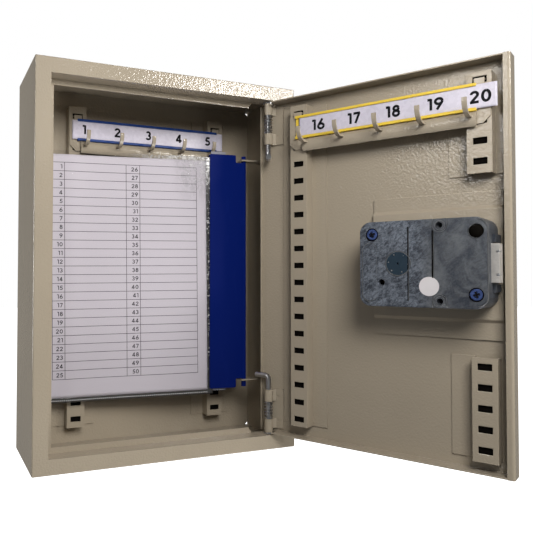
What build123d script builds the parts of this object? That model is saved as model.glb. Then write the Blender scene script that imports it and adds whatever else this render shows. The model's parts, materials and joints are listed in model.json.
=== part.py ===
from build123d import *
import os
import math

# Combination key cabinet, shown with its door swung open.
# Millimetres. +X to the hinge side, +Y to the wall, +Z up.
# The origin is the middle of the face that goes against the wall.

# Cabinet
width = 226.0
depth = 83.0
height = 313.0
sheet = 1.0
flange = 12.0
hinge_flange = 10.2
stop_depth = 14.5
lip = 4.7
lip_end_gap = 35.5
lip_notch_r = 3.2
corner_cut = 3.0
wall_hole_r = 3.5
wall_hole_x = 60.0
wall_hole_z = 150.0

# Hinge line and door
hinge_in = 22.1
hinge_depth = 6.7
open_deg = 118.0
gap = 1.6
pan_front = hinge_depth
pan_depth = 13.2
lock_flange_rise = 0.7
pan_start = 6.0
door_lip = 4.7
hinge_return = 3.3

# Slotted columns
column_rise = 11.5
column_foot = 12.0
slot_w = 9.0
slot_h = 4.6
door_slot_pitch = 14.13
back_slot_pitch = 13.95
slot_margin = 5.5
column_clear = 16.0
short_column_gap = 15.0

# Hinge hardware
pin_r = 2.25
run = 0.05
snug = 0.02
knuckle_r = 3.7
washer_r = 4.4
wire_r = 0.55
coil_r = 3.15
coil_turns = 5
free = 0.35
washer_t = 1.2
bracket_t = 1.4

# Lock
case_l = 85.7
case_h = 61.1
case_r = 8.0
case_t = 30.2
case_up = 0.7
lock_edge_gap = 10.5
spindle_in_case = 28.1
spindle_up = 0.2
spindle_r = 4.0
tube_r = 6.0
wheel_r = 21.5
wheel_t = 2.2
wheel_gap = 1.4
bolt_t = 9.0
bolt_h = 26.0
bolt_out = 5.0
bolt_end_screw_z = 7.8
screw_r = 2.5
cam_r = 20.0
bolt_from_cam = 5.8
lever_in_bolt = 8.0

# Index flap
index_from_side = 25.3
index_from_wall = 37.0
index_deg = 6.4
droop_deg = 0.6
peg_r = 2.2

half_w = width / 2
low = -height / 2
hinge_x = half_w - hinge_in
hinge_y = -depth + hinge_depth
inner_w = width - sheet
pan_l = width - hinge_in - flange - gap
pan_back = -(hinge_in - hinge_flange - gap)
pan_low = flange + gap
pan_high = height - flange - gap
skin_in = -pan_front + sheet
lip_v = pan_depth - pan_front + lock_flange_rise
column_v = skin_in + column_rise
back_in = depth - sheet
column_y = back_in - column_rise
index_x = width - index_from_side
index_y = depth - index_from_wall
case_u = pan_l - lock_edge_gap - case_l
case_z = height / 2 + case_up
upper_hole, lower_hole = case_h / 2 - 9.45, -case_h / 2 + 9.45
screws = ((9.3, upper_hole + 0.4), (case_l - 6.9, lower_hole + 0.3))
spindle_u = case_u + spindle_in_case
spindle_z = case_z + spindle_up

t = math.radians(open_deg)
U = Vector(-math.cos(t), -math.sin(t), 0)
V = Vector(-math.sin(t), math.cos(t), 0)
hinge = Vector(hinge_x, hinge_y, low)
k = math.radians(index_deg)
S = Vector(-math.cos(k), math.sin(k), 0)
B = Vector(math.sin(k), math.cos(k), 0)
peg = Vector(index_x - half_w, index_y - depth, low)
UP = Vector(0, 0, 1)
inward = Axis((0, 0, 0), tuple(V))


# Planes. A front plane has its height up its own y and looks out of the cabinet.
def front(y):
    return Plane(origin=(-half_w, y - depth, low), x_dir=(1, 0, 0), z_dir=(0, -1, 0))


def plan(z):
    return Plane(origin=(-half_w, -depth, low + z), x_dir=(1, 0, 0), z_dir=(0, 0, 1))


def door_face(v):
    return Plane(origin=hinge + V * v, x_dir=U, z_dir=V)


def door_plan(z):
    return Plane(origin=hinge + UP * z, x_dir=U, z_dir=(0, 0, 1))


def door_end(u):
    return Plane(origin=hinge + U * u, x_dir=V, z_dir=U * -1)


def bar_front_door(w):
    return door_face(column_v + w)


def bar_end_door(u):
    return Plane(origin=hinge + U * u + V * column_v, x_dir=V, z_dir=U * -1)


def bar_front_inside(w):
    return front(column_y - w)


def bar_end_inside(x):
    return Plane(origin=(x - half_w, column_y - depth, low), x_dir=(0, -1, 0), z_dir=(-1, 0, 0))


def index_face(b):
    return Plane(origin=peg + B * b, x_dir=S, z_dir=B)


def index_plan(z):
    return Plane(origin=peg + UP * z, x_dir=S, z_dir=(0, 0, 1))


def sheet_face(b, turn_s, turn_z):
    d = math.radians(droop_deg)
    x = S * math.cos(d) - UP * math.sin(d)
    start = peg + B * b + S * turn_s + UP * turn_z
    return Plane(origin=start, x_dir=x, z_dir=B)


# Shapes drawn on a plane and pulled along its normal
def slab(plane, x0, x1, y0, y1, amount, mode=Mode.ADD, r=0.0):
    with BuildSketch(plane) as s:
        with Locations(((x0 + x1) / 2, (y0 + y1) / 2)):
            if r > 0:
                RectangleRounded(x1 - x0, y1 - y0, r)
            else:
                Rectangle(x1 - x0, y1 - y0)
    extrude(s.sketch, amount=amount, mode=mode)


def poly(plane, pts, amount, mode=Mode.ADD):
    with BuildSketch(plane) as s:
        with BuildLine():
            Polyline(*pts, close=True)
        make_face()
    extrude(s.sketch, amount=amount, mode=mode)


def disc(plane, x, y, r, amount, mode=Mode.ADD, hole=0.0):
    with BuildSketch(plane) as s:
        with Locations((x, y)):
            Circle(r)
            if hole > 0:
                Circle(hole, mode=Mode.SUBTRACT)
    extrude(s.sketch, amount=amount, mode=mode)


def capsule(plane, x, y, length, r, amount, turn=0.0, mode=Mode.ADD):
    with BuildSketch(plane) as s:
        with Locations((x, y)):
            SlotOverall(length, 2 * r, rotation=turn)
    extrude(s.sketch, amount=amount, mode=mode)


def slots(plane, x, heights, amount, w=slot_w, h=slot_h):
    with BuildSketch(plane) as s:
        with Locations(*[(x, z) for z in heights]):
            Rectangle(w, h)
    extrude(s.sketch, amount=amount, mode=Mode.SUBTRACT)


def cross(plane, x, y, size, deep):
    with BuildSketch(plane) as s:
        with Locations((x, y)):
            Rectangle(size, size * 0.3)
            Rectangle(size * 0.3, size)
    extrude(s.sketch, amount=-deep, mode=Mode.SUBTRACT)


def column(plane, x0, x1, z0, z1, foot_a, foot_b, slot_x, heights):
    # plane lies on the sheet that carries the column and faces away from it
    slab(plane, x0, x1, z0, z1, column_rise)
    slab(plane, x0 + sheet, x1 - sheet, z0, z1, column_rise - sheet, Mode.SUBTRACT)
    slab(plane, x0 - foot_a, x0 + sheet, z0, z1, sheet)
    slab(plane, x1 - sheet, x1 + foot_b, z0, z1, sheet)
    top = plane.offset(column_rise - 2 * sheet)
    slots(top, slot_x, heights, 3 * sheet)


def save(part, name):
    part.label = name
    export_step(part, "parts/" + name + ".step")


os.makedirs("parts", exist_ok=True)

# Heights of the bars and of the columns' slots
inside_z = height - 36.4
door_z = height - 40.5
back_column_top = height - column_clear
door_column_low = pan_low + 10.3
door_column_high = pan_high - 8.1


def slot_heights(top, bottom, pitch):
    # slot middles from the top one down, as many as the column has room for
    return [top - pitch * i for i in range(int((top - bottom - slot_margin) / pitch) + 1)]


back_slots = slot_heights(inside_z + 11.85, column_clear, back_slot_pitch)
door_slots = slot_heights(door_z + 11.84, door_column_low, door_slot_pitch)

# Cabinet shell: top, bottom and sides folded with the front frame and its stop lips
stop_back = stop_depth + sheet
lip_in = flange + lip
lip_end = width - lip_end_gap
with BuildPart() as cabinet_shell:
    slab(front(depth), 0, width, 0, height, depth)
    slab(front(depth), sheet, inner_w, sheet, height - sheet, depth - sheet, Mode.SUBTRACT)
    slab(front(sheet), flange, width - hinge_flange, flange, height - flange, sheet, Mode.SUBTRACT)
    corners = cabinet_shell.part.edges().filter_by(Axis.Y)
    fillet(corners.filter_by(lambda e: abs(e.center().X) > half_w - 0.01), radius=0.6)
    outer = cabinet_shell.part.edges().group_by(Axis.Y)[0]
    rim = outer.filter_by(lambda e: abs(e.center().X) > half_w - 1.6 or abs(e.center().Z) > height / 2 - 1.6)
    fillet(rim, radius=0.9)
    # returns that carry the stop lips
    for z0, z1 in ((flange - sheet, flange), (height - flange, height - flange + sheet)):
        slab(front(stop_back), flange - sheet, inner_w, z0, z1, stop_back - sheet * 0.5)
    stop_low, stop_high = flange - sheet, height - flange + sheet
    slab(front(stop_back), flange - sheet, flange, stop_low, stop_high, stop_back - sheet * 0.5)
    slab(front(stop_back), flange - sheet, lip_in, stop_low, stop_high, sheet)
    for z0, z1 in ((stop_low, lip_in), (height - lip_in, stop_high)):
        slab(front(stop_back), flange - sheet, lip_end, z0, z1, sheet)
        end_z = z0 if z0 > height / 2 else z1
        disc(front(stop_back), lip_end + 1.2, end_z, lip_notch_r, sheet, Mode.SUBTRACT)
    for z in (flange - 2 * sheet, height - flange - sheet):
        disc(plan(z), width - hinge_in, hinge_depth, pin_r + run, 3 * sheet, Mode.SUBTRACT)
save(cabinet_shell.part, "cabinet_shell")

# Back panel with cropped corners and the four wall holes
c = corner_cut
lo, hi, tall = sheet, inner_w, height - sheet
with BuildPart() as back_panel:
    outline = [(lo + c, lo), (hi - c, lo), (hi, lo + c), (hi, tall - c)]
    outline += [(hi - c, tall), (lo + c, tall), (lo, tall - c), (lo, lo + c)]
    poly(front(depth), outline, sheet)
    with BuildSketch(front(depth)) as holes:
        with Locations((width / 2, height / 2)):
            with GridLocations(wall_hole_x, wall_hole_z, 2, 2):
                Circle(wall_hole_r)
    extrude(holes.sketch, amount=sheet, mode=Mode.SUBTRACT)
save(back_panel.part, "back_panel")

# Slotted columns on the back panel
back_column_w = 15.4
back_right_in = 51.0
back_left, back_right = 41.0, width - back_right_in
for name, x0 in (("left", back_left), ("right", back_right)):
    x1, middle = x0 + back_column_w, x0 + back_column_w / 2
    ends = (column_clear, back_column_top)
    with BuildPart() as back_column:
        column(front(back_in), x0, x1, *ends, column_foot, column_foot, middle, back_slots)
    save(back_column.part, "back_column_" + name)

# Pivot tabs of the index flap, welded to the hinge-side wall
tab_low, tab_high, tab_t = 52.2, height - 58.0, 1.2
tab_half, tab_web, tab_flange = 4.6, 6.0, 3.8
for name, z in (("lower", tab_low), ("upper", tab_high)):
    with BuildPart() as index_tab:
        front_edge, back_edge = index_y - tab_half, index_y + tab_half
        slab(plan(z), index_x - peg_r - 2.0, inner_w, front_edge, back_edge, tab_t)
        web = [(inner_w - 1.5 * tab_web, back_edge), (inner_w, back_edge), (inner_w, back_edge + tab_web)]
        poly(plan(z), web, tab_t)
        slab(plan(z - tab_flange), inner_w - sheet, inner_w, front_edge, back_edge + tab_web, tab_flange)
        disc(plan(z), index_x, index_y, peg_r + run, tab_t, Mode.SUBTRACT)
    save(index_tab.part, "index_tab_" + name)

# Hook bars: a strip with five pressed hooks, hung by tabs in the column slots
strip = 1.2
bar_up, bar_down = 8.6, 9.0
plate_in, plate_down, plate_cut = 7.0, 19.0, 5.0
hang_half, hang_up, hang_low, hang_deep, hang_drop = 3.4, 12.6, 15.7, 2.6, 3.2
roll_start, roll_out, roll_belly, roll_down = 9.8, 2.8, 3.3, 21.0
hook_w = 3.2
hook_t = 1.6
hook_out = 17.5
hook_bend = 8.0
hook_down = 14.9
hook_tip_down = 3.5


def hook_bar(face, end, x0, x1, slot_a, slot_b, z, hook_x):
    slab(face(free), x0, x1, z - bar_down, z + bar_up, strip)
    foot, cut = z - plate_down, z - plate_down + plate_cut
    inner_a, inner_b = slot_a + plate_in, slot_b - plate_in
    left = [(x0, z), (inner_a, z), (inner_a, foot), (x0 + plate_cut, foot), (x0, cut)]
    right = [(inner_b, z), (x1, z), (x1, cut), (x1 - plate_cut, foot), (inner_b, foot)]
    for slot, outline in ((slot_a, left), (slot_b, right)):
        poly(face(free), outline, strip)
        slab(face(free), slot - hang_half, slot + hang_half, z, z + hang_up, strip)
        back = face(-sheet - hang_deep)
        for tab_top in (z + hang_up, z - hang_low):
            under = tab_top - strip
            slab(back, slot - hang_half, slot + hang_half, under, tab_top, sheet + hang_deep + free + 0.1)
            slab(back, slot - hang_half, slot + hang_half, under - hang_drop, tab_top, strip)
    # rolled lower edge that the hooks are pressed out of
    fw, bw = free + strip, free
    top, knee, belly, foot = z - bar_down + 1.0, z - roll_start, z - roll_down + 4.5, z - roll_down
    roll_a, roll_b = hook_x[0] - 3.4, hook_x[-1] + 4.0
    with BuildSketch(end(roll_b)) as roll:
        with BuildLine():
            l1 = Polyline((fw, top), (fw, knee), (fw + roll_out, knee - 3.2))
            l2 = ThreePointArc(l1 @ 1, (fw + roll_belly, belly), (fw + roll_out - 0.9, foot))
            l3 = Line(l2 @ 1, (bw + roll_out - 0.85, foot + 0.4))
            l4 = ThreePointArc(l3 @ 1, (bw + roll_belly, belly - 0.1), (bw + roll_out, knee - 3.9))
            Polyline(l4 @ 1, (bw, knee - 0.6), (bw, top), (fw, top))
        make_face()
    extrude(roll.sketch, amount=roll_b - roll_a)
    # J-shaped hooks
    root, line, rise = fw + roll_out - 0.2, z - hook_down, z - hook_tip_down
    turn = fw + hook_out - hook_bend - hook_t
    top = line + hook_t + hook_bend
    for x in hook_x:
        with BuildSketch(end(x + hook_w / 2)) as hook:
            with BuildLine():
                a = Line((root, line), (turn, line))
                b = TangentArc(a @ 1, (turn + hook_bend + hook_t, top), tangent=(1, 0))
                c1 = Line(b @ 1, (turn + hook_bend + hook_t, rise - hook_t / 2))
                tip = (turn + hook_bend, rise - hook_t / 2)
                d = ThreePointArc(c1 @ 1, (turn + hook_bend + hook_t / 2, rise), tip)
                e = Line(d @ 1, (turn + hook_bend, top))
                g = TangentArc(e @ 1, (turn, line + hook_t), tangent=(0, -1))
                Polyline(g @ 1, (root, line + hook_t), (root, line))
            make_face()
        extrude(hook.sketch, amount=hook_w)


holder_w = 18.0
holder_t = 2.5
insert_h = 15.4
insert_t = 0.8
insert_shift = 0.15
insert_play = 0.2
holder_lip = 0.9


def label_holder(end, x0, x1, z):
    back = free + strip
    with BuildSketch(end(x1)) as rail:
        with Locations((back + holder_t / 2, z)):
            Rectangle(holder_t, holder_w)
        with Locations((back + holder_t / 2 + insert_shift, z)):
            Rectangle(insert_t + insert_play, insert_h + insert_play, mode=Mode.SUBTRACT)
        with Locations((back + holder_t, z)):
            Rectangle(2 * insert_t, insert_h - 2 * holder_lip, mode=Mode.SUBTRACT)
    extrude(rail.sketch, amount=x1 - x0)


def label_insert(face, x0, x1, z):
    middle = free + strip + holder_t / 2 + insert_shift
    slab(face(middle - insert_t / 2), x0, x1, z - insert_h / 2, z + insert_h / 2, insert_t)


def hook_row(first, pitch, end):
    # hooks from the first one on, as many as the bar has room for
    return [first + pitch * i for i in range(int((end - first - 2 * roll_belly) / pitch) + 1)]


back_column_mid = back_column_w / 2
bar_left, bar_right = back_left + 0.6, back_right + 14.8
inside_hooks = hook_row(bar_left + 12.7, 29.8, bar_right)
with BuildPart() as hook_bar_inside:
    slot_a, slot_b = back_left + back_column_mid, back_right + back_column_mid
    hook_bar(bar_front_inside, bar_end_inside, bar_left, bar_right, slot_a, slot_b, inside_z, inside_hooks)
save(hook_bar_inside.part, "hook_bar_inside")
with BuildPart() as label_holder_inside:
    label_holder(bar_end_inside, bar_left + 6.2, bar_right - 6.9, inside_z)
save(label_holder_inside.part, "label_holder_inside")
with BuildPart() as label_insert_inside:
    label_insert(bar_front_inside, bar_left + 1.7, bar_right - 0.9, inside_z)
save(label_insert_inside.part, "label_insert_inside")

long_slot_u = 32.3
upper_slot_u = pan_l - 19.3
lower_slot_u = pan_l - 17.9
door_bar_a, door_bar_b = long_slot_u - 7.1, upper_slot_u + 7.2
door_hooks = hook_row(door_bar_a + 16.4, 31.0, door_bar_b)
with BuildPart() as hook_bar_door:
    ends = (door_bar_a, door_bar_b, long_slot_u, upper_slot_u)
    hook_bar(bar_front_door, bar_end_door, *ends, door_z, door_hooks)
save(hook_bar_door.part, "hook_bar_door")
with BuildPart() as label_holder_door:
    label_holder(bar_end_door, door_bar_a + 6.0, door_bar_b - 8.6, door_z)
save(label_holder_door.part, "label_holder_door")
with BuildPart() as label_insert_door:
    label_insert(bar_front_door, door_bar_a + 9.4, door_bar_b + 4.4, door_z)
save(label_insert_door.part, "label_insert_door")

# Index flap: moulded spine with its pegs, binding strip, clear wallet and printed sheet
spine_t = 2 * peg_r
spine_end = 30.9
notch = 8.5
tip_r = 1.2
spine_low, spine_high = tab_low - 6.3, tab_high + 5.4
notch_low, notch_high = tab_low + tab_t + 0.6, tab_high - 1.5
over = 1.0
with BuildPart() as index_spine:
    slab(index_face(-spine_t / 2), 0, spine_end, spine_low, spine_high, spine_t)
    slab(index_face(-spine_t / 2), 0, notch, notch_high, spine_high + over, spine_t, Mode.SUBTRACT)
    slab(index_face(-spine_t / 2), 0, notch, spine_low - over, notch_low, spine_t, Mode.SUBTRACT)
    tips = index_spine.part.edges().filter_by(lambda e: abs(e.length - spine_t) < 0.1)
    fillet(tips, radius=tip_r)
    groove_low, groove_high = spine_low - over, spine_high + over
    slab(index_face(-0.8), 12.0, spine_end + over, groove_low, groove_high, 1.6, Mode.SUBTRACT)
    disc(index_plan(spine_low + 0.6), 0, 0, peg_r, spine_high - spine_low - 1.2)
save(index_spine.part, "index_spine")
with BuildPart() as index_binding_strip:
    slab(index_face(0.25), 16.2, spine_end - 0.5, spine_low - 2.3, spine_high + 2.9, 0.55)
save(index_binding_strip.part, "index_binding_strip")
sheet_s = 25.6
sheet_w = index_x - sheet_s - 27.1
sheet_mid = (spine_low + spine_high) / 2 - 2.95
sheet_down, sheet_up = sheet_mid - spine_low + 0.7, spine_high - 6.2 - sheet_mid
sheet_t = 0.3
film_t = 0.15
wallet_t = 0.8
weld = 1.5
tongue = 9.0
wallet_end = sheet_w + 4.5
wallet_down, wallet_up = sheet_down + 6.5, sheet_up + 1.6
with BuildPart() as index_wallet:
    leaf = sheet_face(-0.6, sheet_s, sheet_mid)
    for behind in (0, wallet_t - film_t):
        slab(leaf.offset(behind), -tongue, wallet_end, -wallet_down, wallet_up, film_t)
    for y0, y1 in ((-wallet_down, -wallet_down + weld), (wallet_up - weld, wallet_up)):
        slab(leaf, -tongue, wallet_end, y0, y1, wallet_t)
    slab(leaf, wallet_end - weld, wallet_end, -wallet_down, wallet_up, wallet_t)
save(index_wallet.part, "index_wallet")
with BuildPart() as index_sheet:
    slab(sheet_face(-0.35, sheet_s, sheet_mid), 0, sheet_w, -sheet_down, sheet_up, sheet_t)
save(index_sheet.part, "index_sheet")

def lock_edges(edges, v):
    # upright edges on the outside of the lock flange, at depth v
    def there(e):
        p = e.center() - hinge
        return abs(p.dot(U) - pan_l) < 0.01 and abs(p.dot(V) - v) < 0.01
    return edges.filter_by(Axis.Z).filter_by(there)


# Door pan
tube_hole_r = tube_r + 1.0
ring_screw_r = 1.6
ring_screw_out = 28.0
with BuildPart() as door_pan:
    slab(door_face(-pan_front), pan_back, pan_l, pan_low, pan_high, sheet)
    slab(door_face(-pan_front), pan_start, pan_l, pan_high - sheet, pan_high, pan_depth)
    slab(door_face(-pan_front), pan_start, pan_l, pan_low, pan_low + sheet, pan_depth)
    slab(door_face(-pan_front), pan_l - sheet, pan_l, pan_low, pan_high, pan_depth + lock_flange_rise)
    slab(door_face(lip_v - sheet), pan_l - door_lip, pan_l, pan_low, pan_high, sheet)
    slab(door_face(-pan_front), pan_back, pan_back + sheet, pan_low, pan_high, hinge_return)
    fillet(lock_edges(door_pan.part.edges(), lip_v), radius=1.9 * sheet)
    fillet(lock_edges(door_pan.part.edges(), -pan_front), radius=0.9 * sheet)
    disc(door_face(-pan_front), spindle_u, spindle_z, tube_hole_r, sheet, Mode.SUBTRACT)
    for side in (-ring_screw_out, ring_screw_out):
        disc(door_face(-pan_front), spindle_u + side, spindle_z, ring_screw_r + 0.1, sheet, Mode.SUBTRACT)
save(door_pan.part, "door_pan")

# Slotted columns on the door
long_half, long_foot_a, long_foot_b = 7.4, 12.4, 12.7
upper_left, upper_right, upper_foot_a, upper_foot_b = 8.6, 7.6, 14.8, 9.0
lower_left, lower_right, lower_foot_a, lower_foot_b = 8.3, 8.2, 16.0, 7.0
below_case, above_case = 22.65, 20.25
plate_low, plate_high = case_z - case_h / 2 - below_case, case_z + case_h / 2 + above_case
top_slots = [z for z in door_slots if z > plate_high + short_column_gap]
low_slots = [z for z in door_slots if z < plate_low - short_column_gap]
upper_column_low, upper_column_high = top_slots[-1] - 8.42, top_slots[0] + 5.56
lower_column_low, lower_column_high = low_slots[-1] - 8.4, low_slots[0] + 6.38
face = door_face(skin_in)
with BuildPart() as door_column_hinge_side:
    spread = (long_slot_u - long_half, long_slot_u + long_half, door_column_low, door_column_high)
    column(face, *spread, long_foot_a, long_foot_b, long_slot_u, door_slots)
save(door_column_hinge_side.part, "door_column_hinge_side")
with BuildPart() as door_column_upper:
    spread = (upper_slot_u - upper_left, upper_slot_u + upper_right, upper_column_low, upper_column_high)
    column(face, *spread, upper_foot_a, upper_foot_b, upper_slot_u, top_slots)
save(door_column_upper.part, "door_column_upper")
with BuildPart() as door_column_lower:
    spread = (lower_slot_u - lower_left, lower_slot_u + lower_right, lower_column_low, lower_column_high)
    column(face, *spread, lower_foot_a, lower_foot_b, lower_slot_u, low_slots)
save(door_column_lower.part, "door_column_lower")

# Hinge brackets: welded plate with two rolled knuckles for a sprung pin
lower_span = (pan_low, 24.8, 40.0, 49.9)
upper_span = (height - 49.7, height - 40.0, height - 23.7, height - flange - 1.7)
lower_plate = (pan_low + 3.2, lower_span[3] + 0.5)
upper_plate = (upper_span[0], height - flange - 5.0)
plate_v = skin_in + bracket_t
for name, span, plate in (("lower", lower_span, lower_plate), ("upper", upper_span, upper_plate)):
    with BuildPart() as hinge_bracket:
        slab(door_face(skin_in), 0.8, 12.0, plate[0], plate[1], bracket_t)
        for z0, z1 in (span[:2], span[2:]):
            disc(door_plan(z0), 0, 0, knuckle_r, z1 - z0)
            a, b = max(z0, plate[0]), min(z1, plate[1])
            web = [(0, knuckle_r - 0.5), (0.9, 0.1 - plate_v), (5.2, 0.1 - plate_v), (2.8, knuckle_r - 1.3)]
            poly(door_plan(a), web, b - a)
            disc(door_plan(z0), 0, 0, pin_r + run, z1 - z0, Mode.SUBTRACT)
        for z in (plate[0] + 6.9, plate[1] - 6.7):
            disc(door_face(plate_v - 0.5), 6.8, z, 1.3, 0.5, Mode.SUBTRACT)
    save(hinge_bracket.part, "hinge_bracket_" + name)
for name, z in (("lower", flange + 0.4), ("upper", upper_span[3])):
    with BuildPart() as hinge_washer:
        disc(door_plan(z), 0, 0, washer_r, washer_t, hole=pin_r + free)
    save(hinge_washer.part, "hinge_washer_" + name)

# Hinge pins: drawn rod with a shoulder for the spring and an angled finger end
arm = 12.7
bow = 3.4
pin_out = 3.5
ring_r, ring_t = 3.4, 1.2
low_turn, high_turn = 58.4, height - 59.0
for name in ("lower", "upper"):
    up = name == "upper"
    sign = -1 if up else 1
    tip = height - flange + sheet + pin_out if up else flange - sheet - pin_out
    turn_z = high_turn if up else low_turn
    heading = (U * 0.511 + V * 0.860) if up else U * -1
    foot_p = Vector(hinge_x, hinge_y, low + tip)
    bend_p = Vector(hinge_x, hinge_y, low + turn_z)
    after = bend_p + UP * (bow * sign) + heading * bow
    with BuildPart() as hinge_pin:
        with BuildLine() as rod:
            first = Line(foot_p, bend_p)
            second = TangentArc(first @ 1, after, tangent=UP * sign)
            Line(second @ 1, second @ 1 + heading * (arm - bow))
        with BuildSketch(Plane(origin=foot_p, z_dir=UP * sign)) as section:
            Circle(pin_r)
        sweep(section.sketch, path=rod.line)
        ring_z = upper_span[2] - free - ring_t if up else lower_span[1] + free
        disc(door_plan(ring_z), 0, 0, ring_r, ring_t)
        rings = hinge_pin.part.edges().filter_by(GeomType.CIRCLE).sort_by(Axis.Z)
        fillet(rings[-1 if up else 0], radius=0.8)
    save(hinge_pin.part, "hinge_pin_" + name)


# Hinge springs: one unbroken wire round each pin, drawn as pairs of tangent arcs
def coil_points(z0, length):
    steps = coil_turns * 4
    pts = []
    for i in range(steps + 1):
        a = i * math.pi / 2
        f = i / steps
        ease = f - math.sin(2 * math.pi * f) * 0.035
        rate = (1 - 2 * math.pi * math.cos(2 * math.pi * f) * 0.035) / (coil_turns * 2 * math.pi)
        p = Vector(hinge_x + coil_r * math.cos(a), hinge_y + coil_r * math.sin(a), z0 + ease * length)
        d = Vector(-coil_r * math.sin(a), coil_r * math.cos(a), rate * length).normalized()
        pts.append((p, d))
    return pts


def least_gap(pts):
    best = 99.0
    fine = []
    for (p, _), (q, _) in zip(pts, pts[1:]):
        for j in range(8):
            f = j / 8
            m = p * (1 - f) + q * f
            flat = Vector(m.X - hinge_x, m.Y - hinge_y, 0).normalized() * coil_r
            fine.append(Vector(hinge_x + flat.X, hinge_y + flat.Y, m.Z))
    for i, p in enumerate(fine):
        for q in fine[i + 16:]:
            best = min(best, (p - q).length)
    return best - 2 * wire_r


spring_end = ring_t + 2 * free
lower_room = (lower_span[1] + spring_end + free, lower_span[2])
upper_room = (upper_span[1], upper_span[2] - spring_end - free)
for name, (z0, z1) in (("lower", lower_room), ("upper", upper_room)):
    start = low + z0 + wire_r
    points = coil_points(start, z1 - z0 - 2 * wire_r)
    with BuildPart() as hinge_spring:
        with BuildLine() as wire:
            for (p, a), (q, b) in zip(points, points[1:]):
                v = q - p
                s = a + b
                m = 2 * (1 - a.dot(b))
                g = (math.sqrt(v.dot(s) ** 2 + m * v.dot(v)) - v.dot(s)) / m
                j = (p + q + (a - b) * g) * 0.5
                TangentArc(p, j, tangent=a)
                TangentArc(j, q, tangent=(v - s * g).normalized())
        with BuildSketch(Plane(origin=points[0][0], z_dir=points[0][1])) as section:
            Circle(wire_r)
        sweep(section.sketch, path=wire.line)
    print("least gap in the", name, "hinge spring", round(least_gap(points), 2), "mm")
    save(hinge_spring.part, "hinge_spring_" + name)

# Raised plate that carries the lock
plate_rise = 2.0
plate_t = 1.5
plate_u0, plate_u1 = case_u - 1.6, case_u + case_l + 3.2
fold_low, fold_high = 13.0, 11.0
flat_low, flat_high = plate_low + fold_low, plate_high - fold_high
plateau = skin_in + plate_rise
case_back = plateau + plate_t
with BuildPart() as lock_plate:
    with BuildSketch(door_end(plate_u1)) as fold:
        z0, z1, z2, z3 = plate_low, flat_low, flat_high, plate_high
        v0, v1, tk = skin_in, plateau, plate_t
        with BuildLine():
            Polyline((v0, z0), (v0 + tk, z0), (v0 + tk, z1 - 1), (v1 + tk, z1 + 1.4), (v1 + tk, z2 - 1.4),
                     (v0 + tk, z2 + 1), (v0 + tk, z3), (v0, z3), (v0, z2), (v1, z2 - 2.4),
                     (v1, z1 + 2.4), (v0, z1), close=True)
        make_face()
    extrude(fold.sketch, amount=plate_u1 - plate_u0)
    disc(door_face(plateau), spindle_u, spindle_z, tube_hole_r, plate_t, Mode.SUBTRACT)
    for x, z in screws:
        disc(door_face(plateau), case_u + x, case_z + z, screw_r + run, plate_t, Mode.SUBTRACT)
save(lock_plate.part, "lock_plate")

# Lock case, open towards the cover, with its screw posts and spindle tube
through = 60.0
case_face = case_back + case_t
cover_t = 4.4
cover_back = case_face - cover_t
wall = 3.0
floor_v = case_back + wall
bolt_v0 = case_back + 11.5
bolt_v1 = bolt_v0 + bolt_t
u0, u1 = case_u, case_u + case_l
z0, z1 = case_z - case_h / 2, case_z + case_h / 2
posts = screws + ((case_l - 6.8, upper_hole), (9.3, lower_hole))
small_z = case_h / 2 - 4.55
small = ((case_l - 29.7, small_z), (case_l - 29.6, -small_z))
post_r = 5.6
wheel_v = [floor_v + 1.0 + (wheel_t + wheel_gap) * i for i in range(3)]
tube_top = wheel_v[-1] + wheel_t + 0.8
with BuildPart() as lock_case:
    slab(door_face(case_back), u0, u1, z0, z1, cover_back - case_back, r=case_r)
    hollow = (u0 + wall, u1 - wall, z0 + wall, z1 - wall)
    slab(door_face(floor_v), *hollow, through, Mode.SUBTRACT, r=case_r - wall)
    for x, z in posts:
        disc(door_face(case_back), u0 + x, case_z + z, post_r, cover_back - case_back)
    for x, z in small:
        disc(door_face(case_back), u0 + x, case_z + z, 3.9, cover_back - case_back)
    disc(door_face(case_back), spindle_u, spindle_z, tube_r, tube_top - case_back)
    disc(door_face(case_back), spindle_u, spindle_z, spindle_r + run, through, Mode.SUBTRACT)
    for x, z in posts:
        disc(door_face(case_back), u0 + x, case_z + z, screw_r + run, through, Mode.SUBTRACT)
    for x, z in small:
        disc(door_face(cover_back - 10), u0 + x, case_z + z, 1.6, 10, Mode.SUBTRACT)
    slab(door_face(bolt_v0 - run), u1 - wall - 4, u1 + 1, case_z - bolt_h / 2 - run,
         case_z + bolt_h / 2 + run, bolt_t + 2 * run, Mode.SUBTRACT)
    for sz in (-1, 1):
        a, b = case_z + sz * (bolt_h / 2 + 6.4), case_z + sz * (bolt_h / 2 + 1.2)
        slab(door_face(case_back), u1 - 3.0, u1 + 1.8, min(a, b), max(a, b), 16.0)
save(lock_case.part, "lock_case")

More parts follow.
